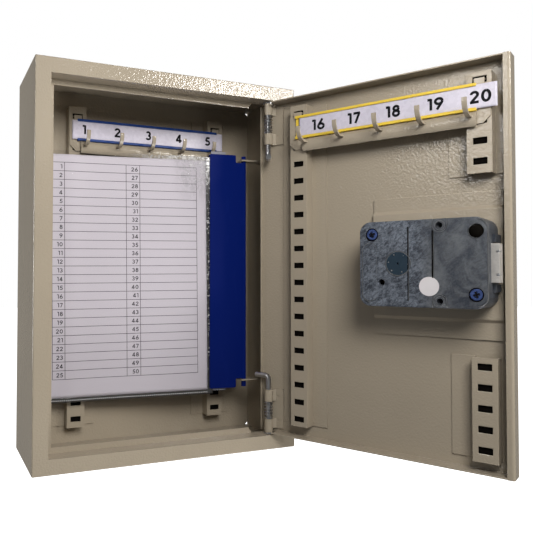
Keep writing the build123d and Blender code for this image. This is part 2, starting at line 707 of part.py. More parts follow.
disc_r = 7.5
head_r = 4.1
head_t = 2.3
sink = 2.6
with BuildPart() as lock_cover:
    slab(door_face(cover_back), u0, u1, z0, z1, cover_t, r=case_r)
    fillet(lock_cover.part.faces().sort_by(inward)[-1].outer_wire().edges(), radius=0.9)
    capsule(door_face(case_face), u0 + 7.2, case_z - 5.4, 43.3, 5.7, 0.35, turn=90)
    for x, z in small:
        disc(door_face(case_face), u0 + x, case_z + z * 0.97, 5.0, 0.4)
    disc(door_face(case_face), spindle_u, spindle_z, disc_r + 1.0, 0.35)
    disc(door_face(cover_back), spindle_u, spindle_z, disc_r, through, Mode.SUBTRACT)
    for x in (34.9, 51.1):
        line = (u0 + x - 0.3, u0 + x + 0.3, case_z - 25, case_z + 24)
        slab(door_face(case_face - 0.3), *line, 2, Mode.SUBTRACT)
    for x, z in screws:
        disc(door_face(cover_back), u0 + x, case_z + z, screw_r + run, through, Mode.SUBTRACT)
        disc(door_face(case_face - sink), u0 + x, case_z + z, head_r + 0.4, through, Mode.SUBTRACT)
    for x, z, r in ((*posts[2], 4.8), (16.2, -13.3, 2.3), (*small[0], 2.2), (*small[1], 2.2)):
        disc(door_face(cover_back), u0 + x, case_z + z, r, through, Mode.SUBTRACT)
save(lock_cover.part, "lock_cover")

for name, (x, z) in zip(("upper", "lower"), screws):
    with BuildPart() as mounting_screw:
        disc(door_face(case_face - sink), u0 + x, case_z + z, head_r, head_t)
        fillet(mounting_screw.part.faces().sort_by(inward)[-1].outer_wire().edges(), radius=0.6)
        end_v = skin_in + 0.6
        disc(door_face(end_v), u0 + x, case_z + z, screw_r, case_face - sink - end_v)
        cross(door_face(case_face - sink + head_t), u0 + x, case_z + z, 4.4, 1.2)
    save(mounting_screw.part, "mounting_screw_" + name)

with BuildPart() as bearing_disc:
    disc(door_face(cover_back + 1.2), spindle_u, spindle_z, disc_r - snug, cover_t - 1.4)
    disc(door_face(cover_back), spindle_u, spindle_z, 1.2, through, Mode.SUBTRACT)
save(bearing_disc.part, "bearing_disc")
with BuildPart() as seal_disc:
    disc(door_face(case_face), u0 + small[1][0] - 7.0, case_z - small_z + 10.2, 6.6, 0.3)
save(seal_disc.part, "seal_disc")

# Wheel pack on the case tube
gate_half, gate_deep = 2.2, 4.0
for i, v in enumerate(wheel_v):
    with BuildPart() as wheel:
        disc(door_face(v), spindle_u, spindle_z, wheel_r, wheel_t, hole=tube_r + run)
        capsule(door_face(v), spindle_u, spindle_z - wheel_r + 7.5, 12, 1.6, wheel_t, mode=Mode.SUBTRACT)
        rim_z = spindle_z - wheel_r
        gate = (spindle_u - gate_half, spindle_u + gate_half, rim_z - over, rim_z + gate_deep)
        slab(door_face(v), *gate, wheel_t, Mode.SUBTRACT)
    save(wheel.part, "wheel_" + str(i + 1))
for i, v in enumerate(wheel_v[:2]):
    with BuildPart() as spacer:
        disc(door_face(v + wheel_t + free), spindle_u, spindle_z, 8.5, wheel_gap - 2 * free, hole=tube_r)
    save(spacer.part, "wheel_spacer_" + str(i + 1))

# Drive cam with its key on the spindle
cam_v = tube_top + 0.6
cam_t, hub_t = 3.6, 8.4
hub_r = spindle_r + 3.5
key_half = 1.1
with BuildPart() as drive_cam:
    disc(door_face(cam_v), spindle_u, spindle_z, cam_r, cam_t, hole=spindle_r + snug)
    disc(door_face(cam_v), spindle_u, spindle_z, hub_r, hub_t, hole=spindle_r + snug)
    mouth = (spindle_u - 2.6, spindle_u + 2.6, spindle_z - cam_r - over, spindle_z - cam_r + 5.0)
    slab(door_face(cam_v), *mouth, cam_t, Mode.SUBTRACT)
    keyway_half = key_half + 0.1
    keyway = (spindle_u + spindle_r - 1.0, spindle_u + hub_r + 0.5)
    keyway += (spindle_z - keyway_half, spindle_z + keyway_half)
    slab(door_face(cam_v + cam_t), *keyway, through, Mode.SUBTRACT)
save(drive_cam.part, "drive_cam")
with BuildPart() as spline_key:
    key = (spindle_u + spindle_r + 0.03, spindle_u + hub_r - 0.7, spindle_z - key_half, spindle_z + key_half)
    slab(door_face(cam_v + cam_t + 0.1), *key, hub_t - cam_t - 0.4)
save(spline_key.part, "spline_key")

# Bolt, its end screws, and the lever with its fence
bolt_u0, bolt_u1 = spindle_u + cam_r + bolt_from_cam, u1 + bolt_out
bolt_mid = (bolt_v0 + bolt_v1) / 2
pivot_u, pivot_z = bolt_u0 + lever_in_bolt, case_z + 5.8
pivot_r = 2.0
end_screw_r = 2.0
end_screw_l = 10.8
with BuildPart() as bolt:
    slab(door_face(bolt_v0), bolt_u0, bolt_u1, case_z - bolt_h / 2, case_z + bolt_h / 2, bolt_t)
    fillet(bolt.part.edges().filter_by(Axis((0, 0, 0), tuple(U))), radius=0.8)
    for z in (case_z - bolt_end_screw_z, case_z + bolt_end_screw_z):
        hole_start = Plane(origin=hinge + U * (bolt_u1 - end_screw_l - 1.2), x_dir=V, z_dir=U)
        disc(hole_start, bolt_mid, -z, end_screw_r, through, Mode.SUBTRACT)
    disc(door_face(bolt_v1 - 6), pivot_u, pivot_z, pivot_r, through, Mode.SUBTRACT)
save(bolt.part, "bolt")
for name, z in (("lower", case_z - bolt_end_screw_z), ("upper", case_z + bolt_end_screw_z)):
    end_plane = Plane(origin=hinge + U * (bolt_u1 - end_screw_l - 0.2), x_dir=V, z_dir=U)
    with BuildPart() as end_screw:
        disc(end_plane, bolt_mid, -z, end_screw_r - snug, end_screw_l)
        cross(end_plane.offset(end_screw_l), bolt_mid, -z, 2.8, 1.0)
    save(end_screw.part, "bolt_end_screw_" + name)
fence_z = spindle_z + wheel_r + 0.8
lever_t = 2.0
with BuildPart() as lever:
    with BuildSketch(door_face(bolt_v1)) as arm_shape:
        with BuildLine():
            eye = [(pivot_u - 4.2, pivot_z - 2.5), (pivot_u + 2, pivot_z - 4.8)]
            eye += [(pivot_u + 4.6, pivot_z), (pivot_u + 1, pivot_z + 5)]
            nose = [(spindle_u + 1.8, fence_z + 3.9), (spindle_u - 6.2, fence_z + 3.9)]
            nose += [(spindle_u - 7.2, fence_z + 0.1), (pivot_u - 20, pivot_z + 7.5)]
            Polyline(*eye, *nose, close=True)
        make_face()
    extrude(arm_shape.sketch, amount=lever_t)
    fence = (spindle_u - 3.6, spindle_u - 0.2, fence_z, fence_z + 3.0)
    slab(door_face(wheel_v[0]), *fence, bolt_v1 - wheel_v[0])
    disc(door_face(bolt_v1), pivot_u, pivot_z, pivot_r + snug, through, Mode.SUBTRACT)
save(lever.part, "lever")
lever_top = bolt_v1 + lever_t
with BuildPart() as lever_screw:
    disc(door_face(bolt_v1 - 5), pivot_u, pivot_z, pivot_r - snug, 5.0 + lever_t)
    disc(door_face(lever_top), pivot_u, pivot_z, 3.6, 1.6)
    slab(door_face(lever_top + 0.8), pivot_u - 4, pivot_u + 4, pivot_z - 0.5, pivot_z + 0.5, 2, Mode.SUBTRACT)
save(lever_screw.part, "lever_screw")

# Dial, dial ring and spindle on the outside of the door
out = -pan_front
bezel_r, bezel_t, bezel_floor = 41.0, 12.0, 2.6
dial_r = 35.6
skirt_t, step_t, knob_t = 5.0, 9.0, 29.0
knob_r = 14.0
dial_v = out - bezel_floor - 0.8
ring_screw_head = 3.1
grip_r = 0.9
spindle_out = 24.0
with BuildPart() as dial_ring:
    disc(door_face(out), spindle_u, spindle_z, bezel_r, -bezel_t)
    fillet(dial_ring.part.faces().sort_by(inward)[0].outer_wire().edges(), radius=2.0)
    disc(door_face(out - bezel_floor), spindle_u, spindle_z, dial_r + 0.5, -through, Mode.SUBTRACT)
    disc(door_face(out), spindle_u, spindle_z, spindle_r + free, -through, Mode.SUBTRACT)
    for side in (-ring_screw_out, ring_screw_out):
        disc(door_face(out), spindle_u + side, spindle_z, ring_screw_r + 0.1, -bezel_floor, Mode.SUBTRACT)
        seat = ring_screw_head + 0.1
        disc(door_face(out - 1.2), spindle_u + side, spindle_z, seat, 1.2 - bezel_floor, Mode.SUBTRACT)
save(dial_ring.part, "dial_ring")
for name, side in (("left", -ring_screw_out), ("right", ring_screw_out)):
    with BuildPart() as ring_screw:
        disc(door_face(out - 2.5), spindle_u + side, spindle_z, ring_screw_head, 1.3)
        disc(door_face(out - 1.2), spindle_u + side, spindle_z, ring_screw_r, 3.0)
        cross(door_face(out - 1.5), spindle_u + side, spindle_z, 3.4, 1.2)
    save(ring_screw.part, "dial_ring_screw_" + name)
with BuildPart() as dial:
    disc(door_face(dial_v), spindle_u, spindle_z, dial_r, -skirt_t)
    disc(door_face(dial_v), spindle_u, spindle_z, dial_r - 8.0, -step_t)
    disc(door_face(dial_v), spindle_u, spindle_z, knob_r, -knob_t)
    knob_rim = dial.part.faces().sort_by(inward)[0].outer_wire().edges()
    fillet(knob_rim, radius=2.0)
    with BuildSketch(door_face(dial_v - step_t - 2.1)) as grip:
        with Locations((spindle_u, spindle_z)):
            with PolarLocations(knob_r + 0.6, 36):
                Circle(grip_r)
    extrude(grip.sketch, amount=2.1 + step_t - knob_t, mode=Mode.SUBTRACT)
    disc(door_face(out), spindle_u, spindle_z, spindle_r + snug, -spindle_out - snug, Mode.SUBTRACT)
save(dial.part, "dial")
with BuildPart() as spindle:
    spindle_l = spindle_out - out + cam_v + hub_t - 0.4
    disc(door_face(out - spindle_out), spindle_u, spindle_z, spindle_r, spindle_l)
save(spindle.part, "spindle")
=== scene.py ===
import json
import math

import bmesh
import bpy
import numpy as np
from mathutils import Matrix, Vector


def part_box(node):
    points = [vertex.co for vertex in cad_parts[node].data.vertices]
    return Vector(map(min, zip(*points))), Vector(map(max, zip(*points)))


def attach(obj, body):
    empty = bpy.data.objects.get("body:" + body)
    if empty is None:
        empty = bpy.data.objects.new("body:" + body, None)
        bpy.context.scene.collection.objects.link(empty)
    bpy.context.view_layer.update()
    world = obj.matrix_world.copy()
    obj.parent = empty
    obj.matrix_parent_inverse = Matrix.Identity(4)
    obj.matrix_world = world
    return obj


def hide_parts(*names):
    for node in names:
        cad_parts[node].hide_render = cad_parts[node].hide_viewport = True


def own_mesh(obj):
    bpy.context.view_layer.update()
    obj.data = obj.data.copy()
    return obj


bl_info = {
    "name": "Combination key cabinet",
    "version": (1, 0, 0),
    "blender": (4, 5, 0),
    "location": "View3D > Sidebar > Key cabinet",
    "description": "Finishes, labels, index flap and studio for a wall key cabinet",
    "category": "Object",
}

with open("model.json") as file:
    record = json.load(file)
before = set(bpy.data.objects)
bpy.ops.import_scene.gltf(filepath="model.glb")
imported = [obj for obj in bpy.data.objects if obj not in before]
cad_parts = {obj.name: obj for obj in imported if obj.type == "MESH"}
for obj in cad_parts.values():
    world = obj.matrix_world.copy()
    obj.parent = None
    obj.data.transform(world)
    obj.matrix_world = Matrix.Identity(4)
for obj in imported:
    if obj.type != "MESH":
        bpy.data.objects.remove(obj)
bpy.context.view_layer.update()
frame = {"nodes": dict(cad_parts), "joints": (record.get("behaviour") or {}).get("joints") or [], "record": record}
JOINTS = {j["name"]: j for j in frame["joints"]}
NODES = frame["nodes"]
SLOT = {s["node"]: s["material_slot"] for s in frame["record"]["subparts"]}
BODY = {n: body for body, names in frame["record"]["behaviour"]["bodies"].items() for n in names}
FINISHES = {}
MM = 0.001

# Directions and places that the frame gives
ALONG = Vector(JOINTS["bolt_slide"]["axis"])
INWARD = -Vector(JOINTS["dial_spin"]["axis"])
UP = Vector((0, 0, 1))
HINGE = Vector(JOINTS["door_swing"]["pos_m"])
SPINDLE = Vector(JOINTS["dial_spin"]["pos_m"])
PIVOT = Vector(JOINTS["index_swing"]["pos_m"])
SHELL_LOW, SHELL_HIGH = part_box("cabinet_shell")
BASE = SHELL_LOW.z


def reach(node, direction):
    """Greatest distance of a CAD node's corners along a direction, from the origin."""
    mesh = NODES[node].data
    corners = np.empty(len(mesh.vertices) * 3, np.float32)
    mesh.vertices.foreach_get("co", corners)
    return float((corners.reshape(-1, 3) @ np.array(direction, np.float32)).max())


def near(node, direction):
    """Least distance of a CAD node's corners along a direction, from the origin."""
    return -reach(node, -Vector(direction))


# Middle of the lock cover along the bolt's way
CASE_MIDDLE = (reach("lock_cover", ALONG) + near("lock_cover", ALONG)) / 2
# Distance of the lock cover's face from the hinge line, along the door's inward normal, in millimetres
LOCK_FACE = (reach("lock_cover", INWARD) - HINGE.dot(INWARD)) / MM
# Faces of a box whose corners run through x, then y, then z, each from its low to its high value
BOX_FACES = ((0, 1, 3, 2), (4, 6, 7, 5), (0, 4, 5, 1), (2, 3, 7, 6), (0, 2, 6, 4), (1, 5, 7, 3))


class Place:
    """A flat work plane: across and up are its own axes, out is its normal."""

    def __init__(self, origin, across, up, out):
        self.origin, self.across, self.up, self.out = map(Vector, (origin, across, up, out))

    def array(self, p):
        """Points (..., 3) given as across, up and out distances, in the row frame."""
        axes = np.array([self.across, self.up, self.out])
        return np.asarray(p) @ axes + np.array(self.origin)


class Value:
    """A socket that takes part in Python arithmetic by adding Math nodes."""

    def __init__(self, finish, socket):
        self.finish, self.socket = finish, socket

    def math(self, operation, *others):
        return self.finish.math(operation, self, *others)

    def __add__(self, other):
        return self.math("ADD", other)

    def __radd__(self, other):
        return self.finish.math("ADD", other, self)

    def __sub__(self, other):
        return self.math("SUBTRACT", other)

    def __rsub__(self, other):
        return self.finish.math("SUBTRACT", other, self)

    def __mul__(self, other):
        return self.math("MULTIPLY", other)

    def __rmul__(self, other):
        return self.finish.math("MULTIPLY", other, self)

    def __truediv__(self, other):
        return self.math("DIVIDE", other)

    def __gt__(self, other):
        return self.math("GREATER_THAN", other)

    def __lt__(self, other):
        return self.math("LESS_THAN", other)

    def step(self, low, high):
        """0 below low, 1 above high, smooth between."""
        out = self.finish.node(
            "ShaderNodeMapRange",
            {"interpolation_type": "SMOOTHSTEP"},
            {"Value": self, "From Min": low, "From Max": high},
        )
        return Value(self.finish, out.outputs["Result"])


# Places of the two colour inputs and of the colour result among a Mix node's sockets
MIX_COLOURS = (6, 7)
MIX_RESULT = 2


class Finish:
    """One material, its Principled shader and the nodes that vary it."""

    def __init__(self, name, constants):
        self.material = bpy.data.materials.new(name)
        self.material.use_nodes = True
        self.tree = self.material.node_tree
        self.tree.nodes.clear()
        self.shader = self.tree.nodes.new("ShaderNodeBsdfPrincipled")
        output = self.tree.nodes.new("ShaderNodeOutputMaterial")
        self.tree.links.new(self.shader.outputs[0], output.inputs["Surface"])
        for key, value in constants.items():
            self.shader.inputs[key].default_value = value
        place = self.tree.nodes.new("ShaderNodeTexCoord")
        self.place = place.outputs["Object"]
        self.uv = place.outputs["UV"]

    def plug(self, socket, value):
        """Link a socket to a value or another socket, or set it to a constant."""
        if isinstance(value, Value):
            value = value.socket
        if isinstance(value, bpy.types.NodeSocket):
            self.tree.links.new(value, socket)
        elif value is not None:
            socket.default_value = value

    def node(self, kind, settings=None, values=None):
        """Any node: its settings first, then the values or links of its sockets."""
        made = self.tree.nodes.new(kind)
        for key, value in (settings or {}).items():
            setattr(made, key, value)
        for key, value in (values or {}).items():
            self.plug(made.inputs[key], value)
        return made

    def math(self, operation, *values):
        made = self.node("ShaderNodeMath", {"operation": operation}, dict(enumerate(values)))
        return Value(self, made.outputs[0])

    def stretched(self, scale):
        """Object coordinates scaled by a different amount on each axis."""
        made = self.node("ShaderNodeVectorMath", {"operation": "MULTIPLY"}, {0: self.place, 1: scale})
        return made.outputs[0]

    def noise(self, scale, detail=2.0, rough=0.5, distort=0.0, vector=None):
        """Soft noise from 0 to 1, with about as many marks to the metre as the scale says."""
        values = {
            "Vector": vector or self.place,
            "Scale": scale,
            "Detail": detail,
            "Roughness": rough,
            "Distortion": distort,
        }
        return Value(self, self.node("ShaderNodeTexNoise", {}, values).outputs["Fac"])

    def axis(self, vector, index):
        """One of a vector's three values."""
        made = self.node("ShaderNodeSeparateXYZ", {}, {0: vector})
        return Value(self, made.outputs[index])

    def mix(self, factor, first, second):
        """Colour that goes from the first to the second as the factor goes from 0 to 1."""
        made = self.node("ShaderNodeMix", {"data_type": "RGBA"}, {"Factor": factor})
        for index, colour in zip(MIX_COLOURS, (first, second)):
            self.plug(made.inputs[index], (*colour, 1.0) if isinstance(colour, tuple) else colour)
        return made.outputs[MIX_RESULT]

    def colour(self, value):
        self.plug(self.shader.inputs["Base Color"], value)

    def rough(self, value):
        self.plug(self.shader.inputs["Roughness"], value)

    def relief(self, height, distance, strength=1.0):
        """Bumps from a height of 0 to 1, as deep as the distance in metres."""
        made = self.node("ShaderNodeBump", {}, {"Height": height, "Distance": distance, "Strength": strength})
        self.plug(self.shader.inputs["Normal"], made.outputs[0])


# Meshes made from arrays
def add_mesh(name, points, faces, material, smooth=True, uv=None):
    """Object from an array of points and a list of faces, with a UV map where uv gives one value per point."""
    mesh = bpy.data.meshes.new(name)
    mesh.from_pydata(points.reshape(-1, 3).tolist(), [], faces)
    if uv is not None:
        layer = mesh.uv_layers.new(name="UVMap")
        index = np.empty(len(mesh.loops), np.int32)
        mesh.loops.foreach_get("vertex_index", index)
        layer.data.foreach_set("uv", uv.reshape(-1, 2)[index].ravel().astype(np.float32))
    mesh.polygons.foreach_set("use_smooth", [smooth] * len(mesh.polygons))
    mesh.materials.append(material)
    mesh.update()
    piece = bpy.data.objects.new(name, mesh)
    bpy.context.scene.collection.objects.link(piece)
    return piece


def quads(rows, columns, wrap_rows=False, wrap_columns=False, start=0):
    """Faces of a grid of rows by columns points, joined round where asked."""
    r = np.arange(rows if wrap_rows else rows - 1)
    c = np.arange(columns if wrap_columns else columns - 1)
    r, c = np.meshgrid(r, c, indexing="ij")
    r2, c2 = (r + 1) % rows, (c + 1) % columns
    f = np.stack([r * columns + c, r * columns + c2, r2 * columns + c2, r2 * columns + c], -1)
    return (f.reshape(-1, 4) + start).tolist()


def turn_faces_out(piece):
    """Turns all faces of a closed piece outwards."""
    bm = bmesh.new()
    bm.from_mesh(piece.data)
    bmesh.ops.remove_doubles(bm, verts=bm.verts, dist=1e-7)
    bmesh.ops.recalc_face_normals(bm, faces=bm.faces)
    bm.to_mesh(piece.data)
    bm.free()


def solid(name, parts, material, smooth=True):
    """One piece from several closed (points, faces) pairs."""
    points, faces, count = [], [], 0
    for p, f in parts:
        p = np.asarray(p).reshape(-1, 3)
        points.append(p)
        faces += [[i + count for i in face] for face in f]
        count += len(p)
    piece = add_mesh(name, np.concatenate(points), faces, material, smooth)
    turn_faces_out(piece)
    return piece


def slab(place, x, y, z):
    """Box between two values on each of the place's axes, in millimetres."""
    corners = np.array([(a, b, c) for a in x for b in y for c in z]) * MM
    return place.array(corners), BOX_FACES


def turned(place, x, y, profile, around):
    """Solid of revolution about the place's out axis at (x, y): point (r cos a, r sin a, h) for each
    (r, h) of the profile, which closes on itself or starts and ends on the axis."""
    r, h = np.array(profile, float).T
    a = np.linspace(0, 2 * np.pi, around, endpoint=False)
    across, up = x + r[:, None] * np.cos(a), y + r[:, None] * np.sin(a)
    rings = np.stack([across, up, np.repeat(h[:, None], around, 1)], -1)
    on_axis = r[0] == 0
    return place.array(rings * MM), quads(len(r), around, wrap_rows=not on_axis, wrap_columns=True)


def ridge(place, path, half_width, half_height, lift=0.0, around=8):
    """Closed rod along a flat path, in millimetres: the ellipse (half_width cos a, half_height sin a) is
    carried along the path and square to it, and both ends shrink to a point."""
    path = np.asarray(path, float)
    n = len(path)
    way = np.gradient(path, axis=0)
    way /= np.linalg.norm(way, axis=1)[:, None]
    axes = np.array([place.across, place.up, place.out])
    side = np.stack([-way[:, 1], way[:, 0], 0 * way[:, 0]], -1) @ axes
    middle = place.array(np.column_stack([path, np.full(n, lift)]) * MM)
    a = np.linspace(0, 2 * np.pi, around, endpoint=False)
    wide = side[:, None] * (half_width * MM * np.cos(a))[:, None]
    high = np.array(place.out) * (half_height * MM * np.sin(a))[:, None]
    rings = middle[:, None] + wide + high
    points = np.concatenate([rings.reshape(-1, 3), middle[:1], middle[-1:]])
    first, last, end = n * around, n * around + 1, (n - 1) * around
    i = np.arange(around)
    j = (i + 1) % around
    faces = quads(n, around, wrap_columns=True)
    faces += np.stack([np.full(around, first), j, i], -1).tolist()
    faces += np.stack([np.full(around, last), end + i, end + j], -1).tolist()
    return points, faces


# Numbers, drawn as strokes of straight runs and arcs in a box one unit high
def arc(cx, cy, rx, ry, start, end, n=14):
    """Points (cx + rx cos a, cy + ry sin a) between two angles in degrees."""
    a = np.radians(np.linspace(start, end, n))
    return np.stack([cx + rx * np.cos(a), cy + ry * np.sin(a)], -1)


def line(*points):
    return np.array(points, float)


# Width of each digit and its strokes
STROKES = {
    "0": (0.62, [arc(0.31, 0.5, 0.23, 0.42, 90, 450, 26)]),
    "1": (0.36, [line((0.26, 0.0), (0.26, 1.0)), line((0.02, 0.92), (0.26, 0.92))]),
    "2": (
        0.58,
        [np.concatenate([arc(0.28, 0.70, 0.21, 0.22, 175, -28), line((0.06, 0.08))]), line((0.0, 0.08), (0.56, 0.08))],
    ),
    "3": (0.54, [arc(0.23, 0.71, 0.19, 0.21, 150, -90), arc(0.23, 0.29, 0.22, 0.21, 90, -155)]),
    "4": (
        0.64,
        [line((0.42, 0.0), (0.42, 1.0)), line((0.42, 0.94), (0.06, 0.28)), line((0.0, 0.26), (0.62, 0.26))],
    ),
    "5": (
        0.56,
        [line((0.52, 0.92), (0.17, 0.92)), line((0.2, 0.95), (0.1, 0.5)), arc(0.25, 0.31, 0.24, 0.24, 128, -150)],
    ),
    "6": (0.62, [arc(0.31, 0.30, 0.24, 0.23, 0, 360, 24), line((0.44, 1.0), (0.1, 0.42))]),
    "7": (0.56, [line((0.0, 0.92), (0.53, 0.92)), line((0.49, 0.95), (0.16, 0.0))]),
    "8": (0.58, [arc(0.29, 0.73, 0.18, 0.19, 0, 360, 22), arc(0.29, 0.29, 0.22, 0.22, 0, 360, 24)]),
    "9": (0.62, [arc(0.31, 0.70, 0.24, 0.23, 0, 360, 24), line((0.18, 0.0), (0.52, 0.58))]),
}
# Space between two digits, as a share of their height
GAP = 0.16


def ribbon(points, width):
    """Left and right edges of a stroke: its middle line moved by half the width along its normal."""
    way = np.gradient(points, axis=0)
    way /= np.linalg.norm(way, axis=1)[:, None]
    side = np.stack([-way[:, 1], way[:, 0]], -1) * width / 2
    return points + side, points - side


def number_width(text, height, wide=1.0):
    """Width of a number whose digits are widened by a factor."""
    return height * (wide * sum(STROKES[c][0] for c in text) + GAP * (len(text) - 1))


def draw_numbers(name, items, place, height, weight, material, rise, turn=None, ground=None, wide=1.0):
    """One thin mesh of all strokes. items are (text, across, up) with the middle of each number, turn gives
    each number's angle, and ground is the height of the surface under a point."""
    points, faces, count = [], [], 0
    for k, (text, x, y) in enumerate(items):
        left = -number_width(text, 1.0, wide) / 2
        for digit in text:
            width, strokes = STROKES[digit]
            for stroke in strokes:
                a, b = ribbon(stroke * (wide, 1.0), weight)
                n = len(a)
                flat = (np.stack([a, b, b, a], 1) + (left, -0.5)) * height
                if turn is not None:
                    ct, st = math.cos(turn[k]), math.sin(turn[k])
                    flat = flat @ np.array([[ct, st], [-st, ct]])
                flat = flat + (x, y)
                lift = np.broadcast_to([0.0, 0.0, rise, rise], (n, 4))
                if ground is not None:
                    lift = lift + ground(flat[..., 0], flat[..., 1])
                points.append(place.array(np.concatenate([flat, lift[..., None]], -1)).reshape(-1, 3))
                faces += quads(n, 4, wrap_columns=True, start=count)
                faces.append([count + i for i in (0, 1, 2, 3)])
                faces.append([count + (n - 1) * 4 + i for i in (3, 2, 1, 0)])
                count += n * 4
            left += width * wide + GAP
    piece = add_mesh(name, np.concatenate(points), faces, material, smooth=False)
    turn_faces_out(piece)
    return piece


def shaded(tone, factor, lift=0.0, most=1.0):
    """A colour times a factor, and lifted, with each value kept at the most or under it."""
    return tuple(min(most, c * factor + lift) for c in tone)


# Finishes
def powder_coat(props):
    """Semi-gloss powder coat with an orange-peel skin: soft bumps about a millimetre and a half across, a
    finer grain on them, and a slow drift of tone."""
    f = Finish("beige_powder_coat", {"Specular IOR Level": 0.7, "IOR": 1.5})
    tone = tuple(props.paint)
    drift = f.noise(9.0, detail=3.0).step(0.35, 0.65)
    f.colour(f.mix(drift, shaded(tone, 0.96), shaded(tone, 1.03)))
    peel = f.noise(props.peel_scale, detail=1.0, rough=0.4)
    grit = f.noise(props.peel_scale * 2.6, detail=1.0)
    f.rough(0.09 + f.noise(60.0, detail=3.0) * 0.04)
    f.relief(peel * 0.85 + grit * 0.15, props.peel_height)
    return f.material


def die_cast(props):
    """Zinc die casting: cloudy blue-grey streaks on the wheel side, plainer and darker towards the bolt."""
    f = Finish("die_cast_zinc", {"Metallic": 0.45, "Specular IOR Level": 0.5})
    along = f.node("ShaderNodeVectorMath", {"operation": "DOT_PRODUCT"}, {0: f.place, 1: tuple(ALONG)})
    along, up = Value(f, along.outputs["Value"]), f.axis(f.place, 2)
    lean, stretch = 0.7, 0.55
    slanted = f.node(
        "ShaderNodeCombineXYZ", {}, {0: (along + up * lean) * stretch, 1: up - along * lean, 2: 0.0}
    ).outputs[0]
    bolt_side = along.step(CASE_MIDDLE - 6 * MM, CASE_MIDDLE + 10 * MM)
    streaks = f.noise(520.0, detail=5.0, rough=0.72, distort=0.8, vector=slanted)
    clouds = f.noise(75.0, detail=5.0, rough=0.6, distort=0.8)
    flecks = f.noise(900.0, detail=3.0, rough=0.7, distort=0.4)
    light, dark = tuple(props.zinc_light), tuple(props.zinc_dark)
    dull = tuple(0.55 * c * warmth for c, warmth in zip(light, (1.05, 0.97, 0.86)))
    mark = (streaks * 0.75 + clouds * 0.45 - 0.1).step(0.36, 0.66)
    wheel_side = f.mix(mark, dark, light)
    plain = f.mix((clouds * 0.8 + flecks * 0.2).step(0.34, 0.68), dark, dull)
    f.colour(f.mix(bolt_side * 0.8, wheel_side, plain))
    f.rough(0.3 + mark * 0.2 + flecks * 0.12)
    f.relief(flecks * 0.6 + streaks * 0.4, 0.15 * MM, 0.5)
    return f.material


def bright_metal(name, tone, rough, grain=0.12, metal=1.0):
    """Plated or drawn metal with a faint grain and small dull patches."""
    f = Finish(name, {"Metallic": metal})
    wear = f.noise(240.0, detail=4.0, rough=0.6)
    f.colour(f.mix(wear.step(0.3, 0.75), shaded(tone, 0.82), tone))
    streak = f.noise(1.0, detail=3.0, rough=0.6, vector=f.stretched((2500.0, 2500.0, 260.0)))
    f.rough(rough + wear * grain + streak * grain * 0.6)
    f.relief(streak, 0.03 * MM, 0.4)
    return f.material


def plastic(name, tone, rough, scuff, gloss=0.5):
    """Moulded or drawn plastic with a fine grain and light scuffs."""
    f = Finish(name, {"Specular IOR Level": gloss})
    scuffs = f.noise(1.0, detail=3.0, rough=0.6, distort=1.2, vector=f.stretched((120.0, 120.0, 26.0)))
    f.colour(f.mix(scuffs.step(0.52, 0.8) * scuff, tone, shaded(tone, 1.5, 0.008)))
    f.rough(rough + scuffs * 0.12)
    f.relief(f.noise(1500.0), 0.03 * MM, 0.25)
    return f.material


def card(name, tone, rough=0.2):
    """Printed card or film label, a little cloudy, with a fine pebbled skin."""
    f = Finish(name, {"Specular IOR Level": 0.5})
    cloud = f.noise(40.0, detail=3.0).step(0.3, 0.7)
    f.colour(f.mix(cloud, shaded(tone, 0.95), shaded(tone, 1.03)))
    f.rough(rough + f.noise(300.0, detail=3.0) * 0.15)
    f.relief(f.noise(420.0), 0.2 * MM, 0.4)
    return f.material


def ink(name, tone):
    """Printed or filled figures, a little uneven."""
    f = Finish(name, {"Specular IOR Level": 0.08})
    light = shaded(tone, 1.6, 0.004, most=math.inf)
    f.colour(f.mix(f.noise(900.0, detail=3.0).step(0.3, 0.7), tone, light))
    f.rough(0.45 + f.noise(500.0) * 0.1)
    return f.material


def shade(name):
    """Painted shade: a dark matt sheet that stands for the shade inside channels, slots, grooves and holes."""
    f = Finish(name, {"Specular IOR Level": 0.0, "Roughness": 0.9})
    f.colour(f.mix(f.noise(60.0), (0.004, 0.0035, 0.003), (0.008, 0.007, 0.006)))
    return f.material


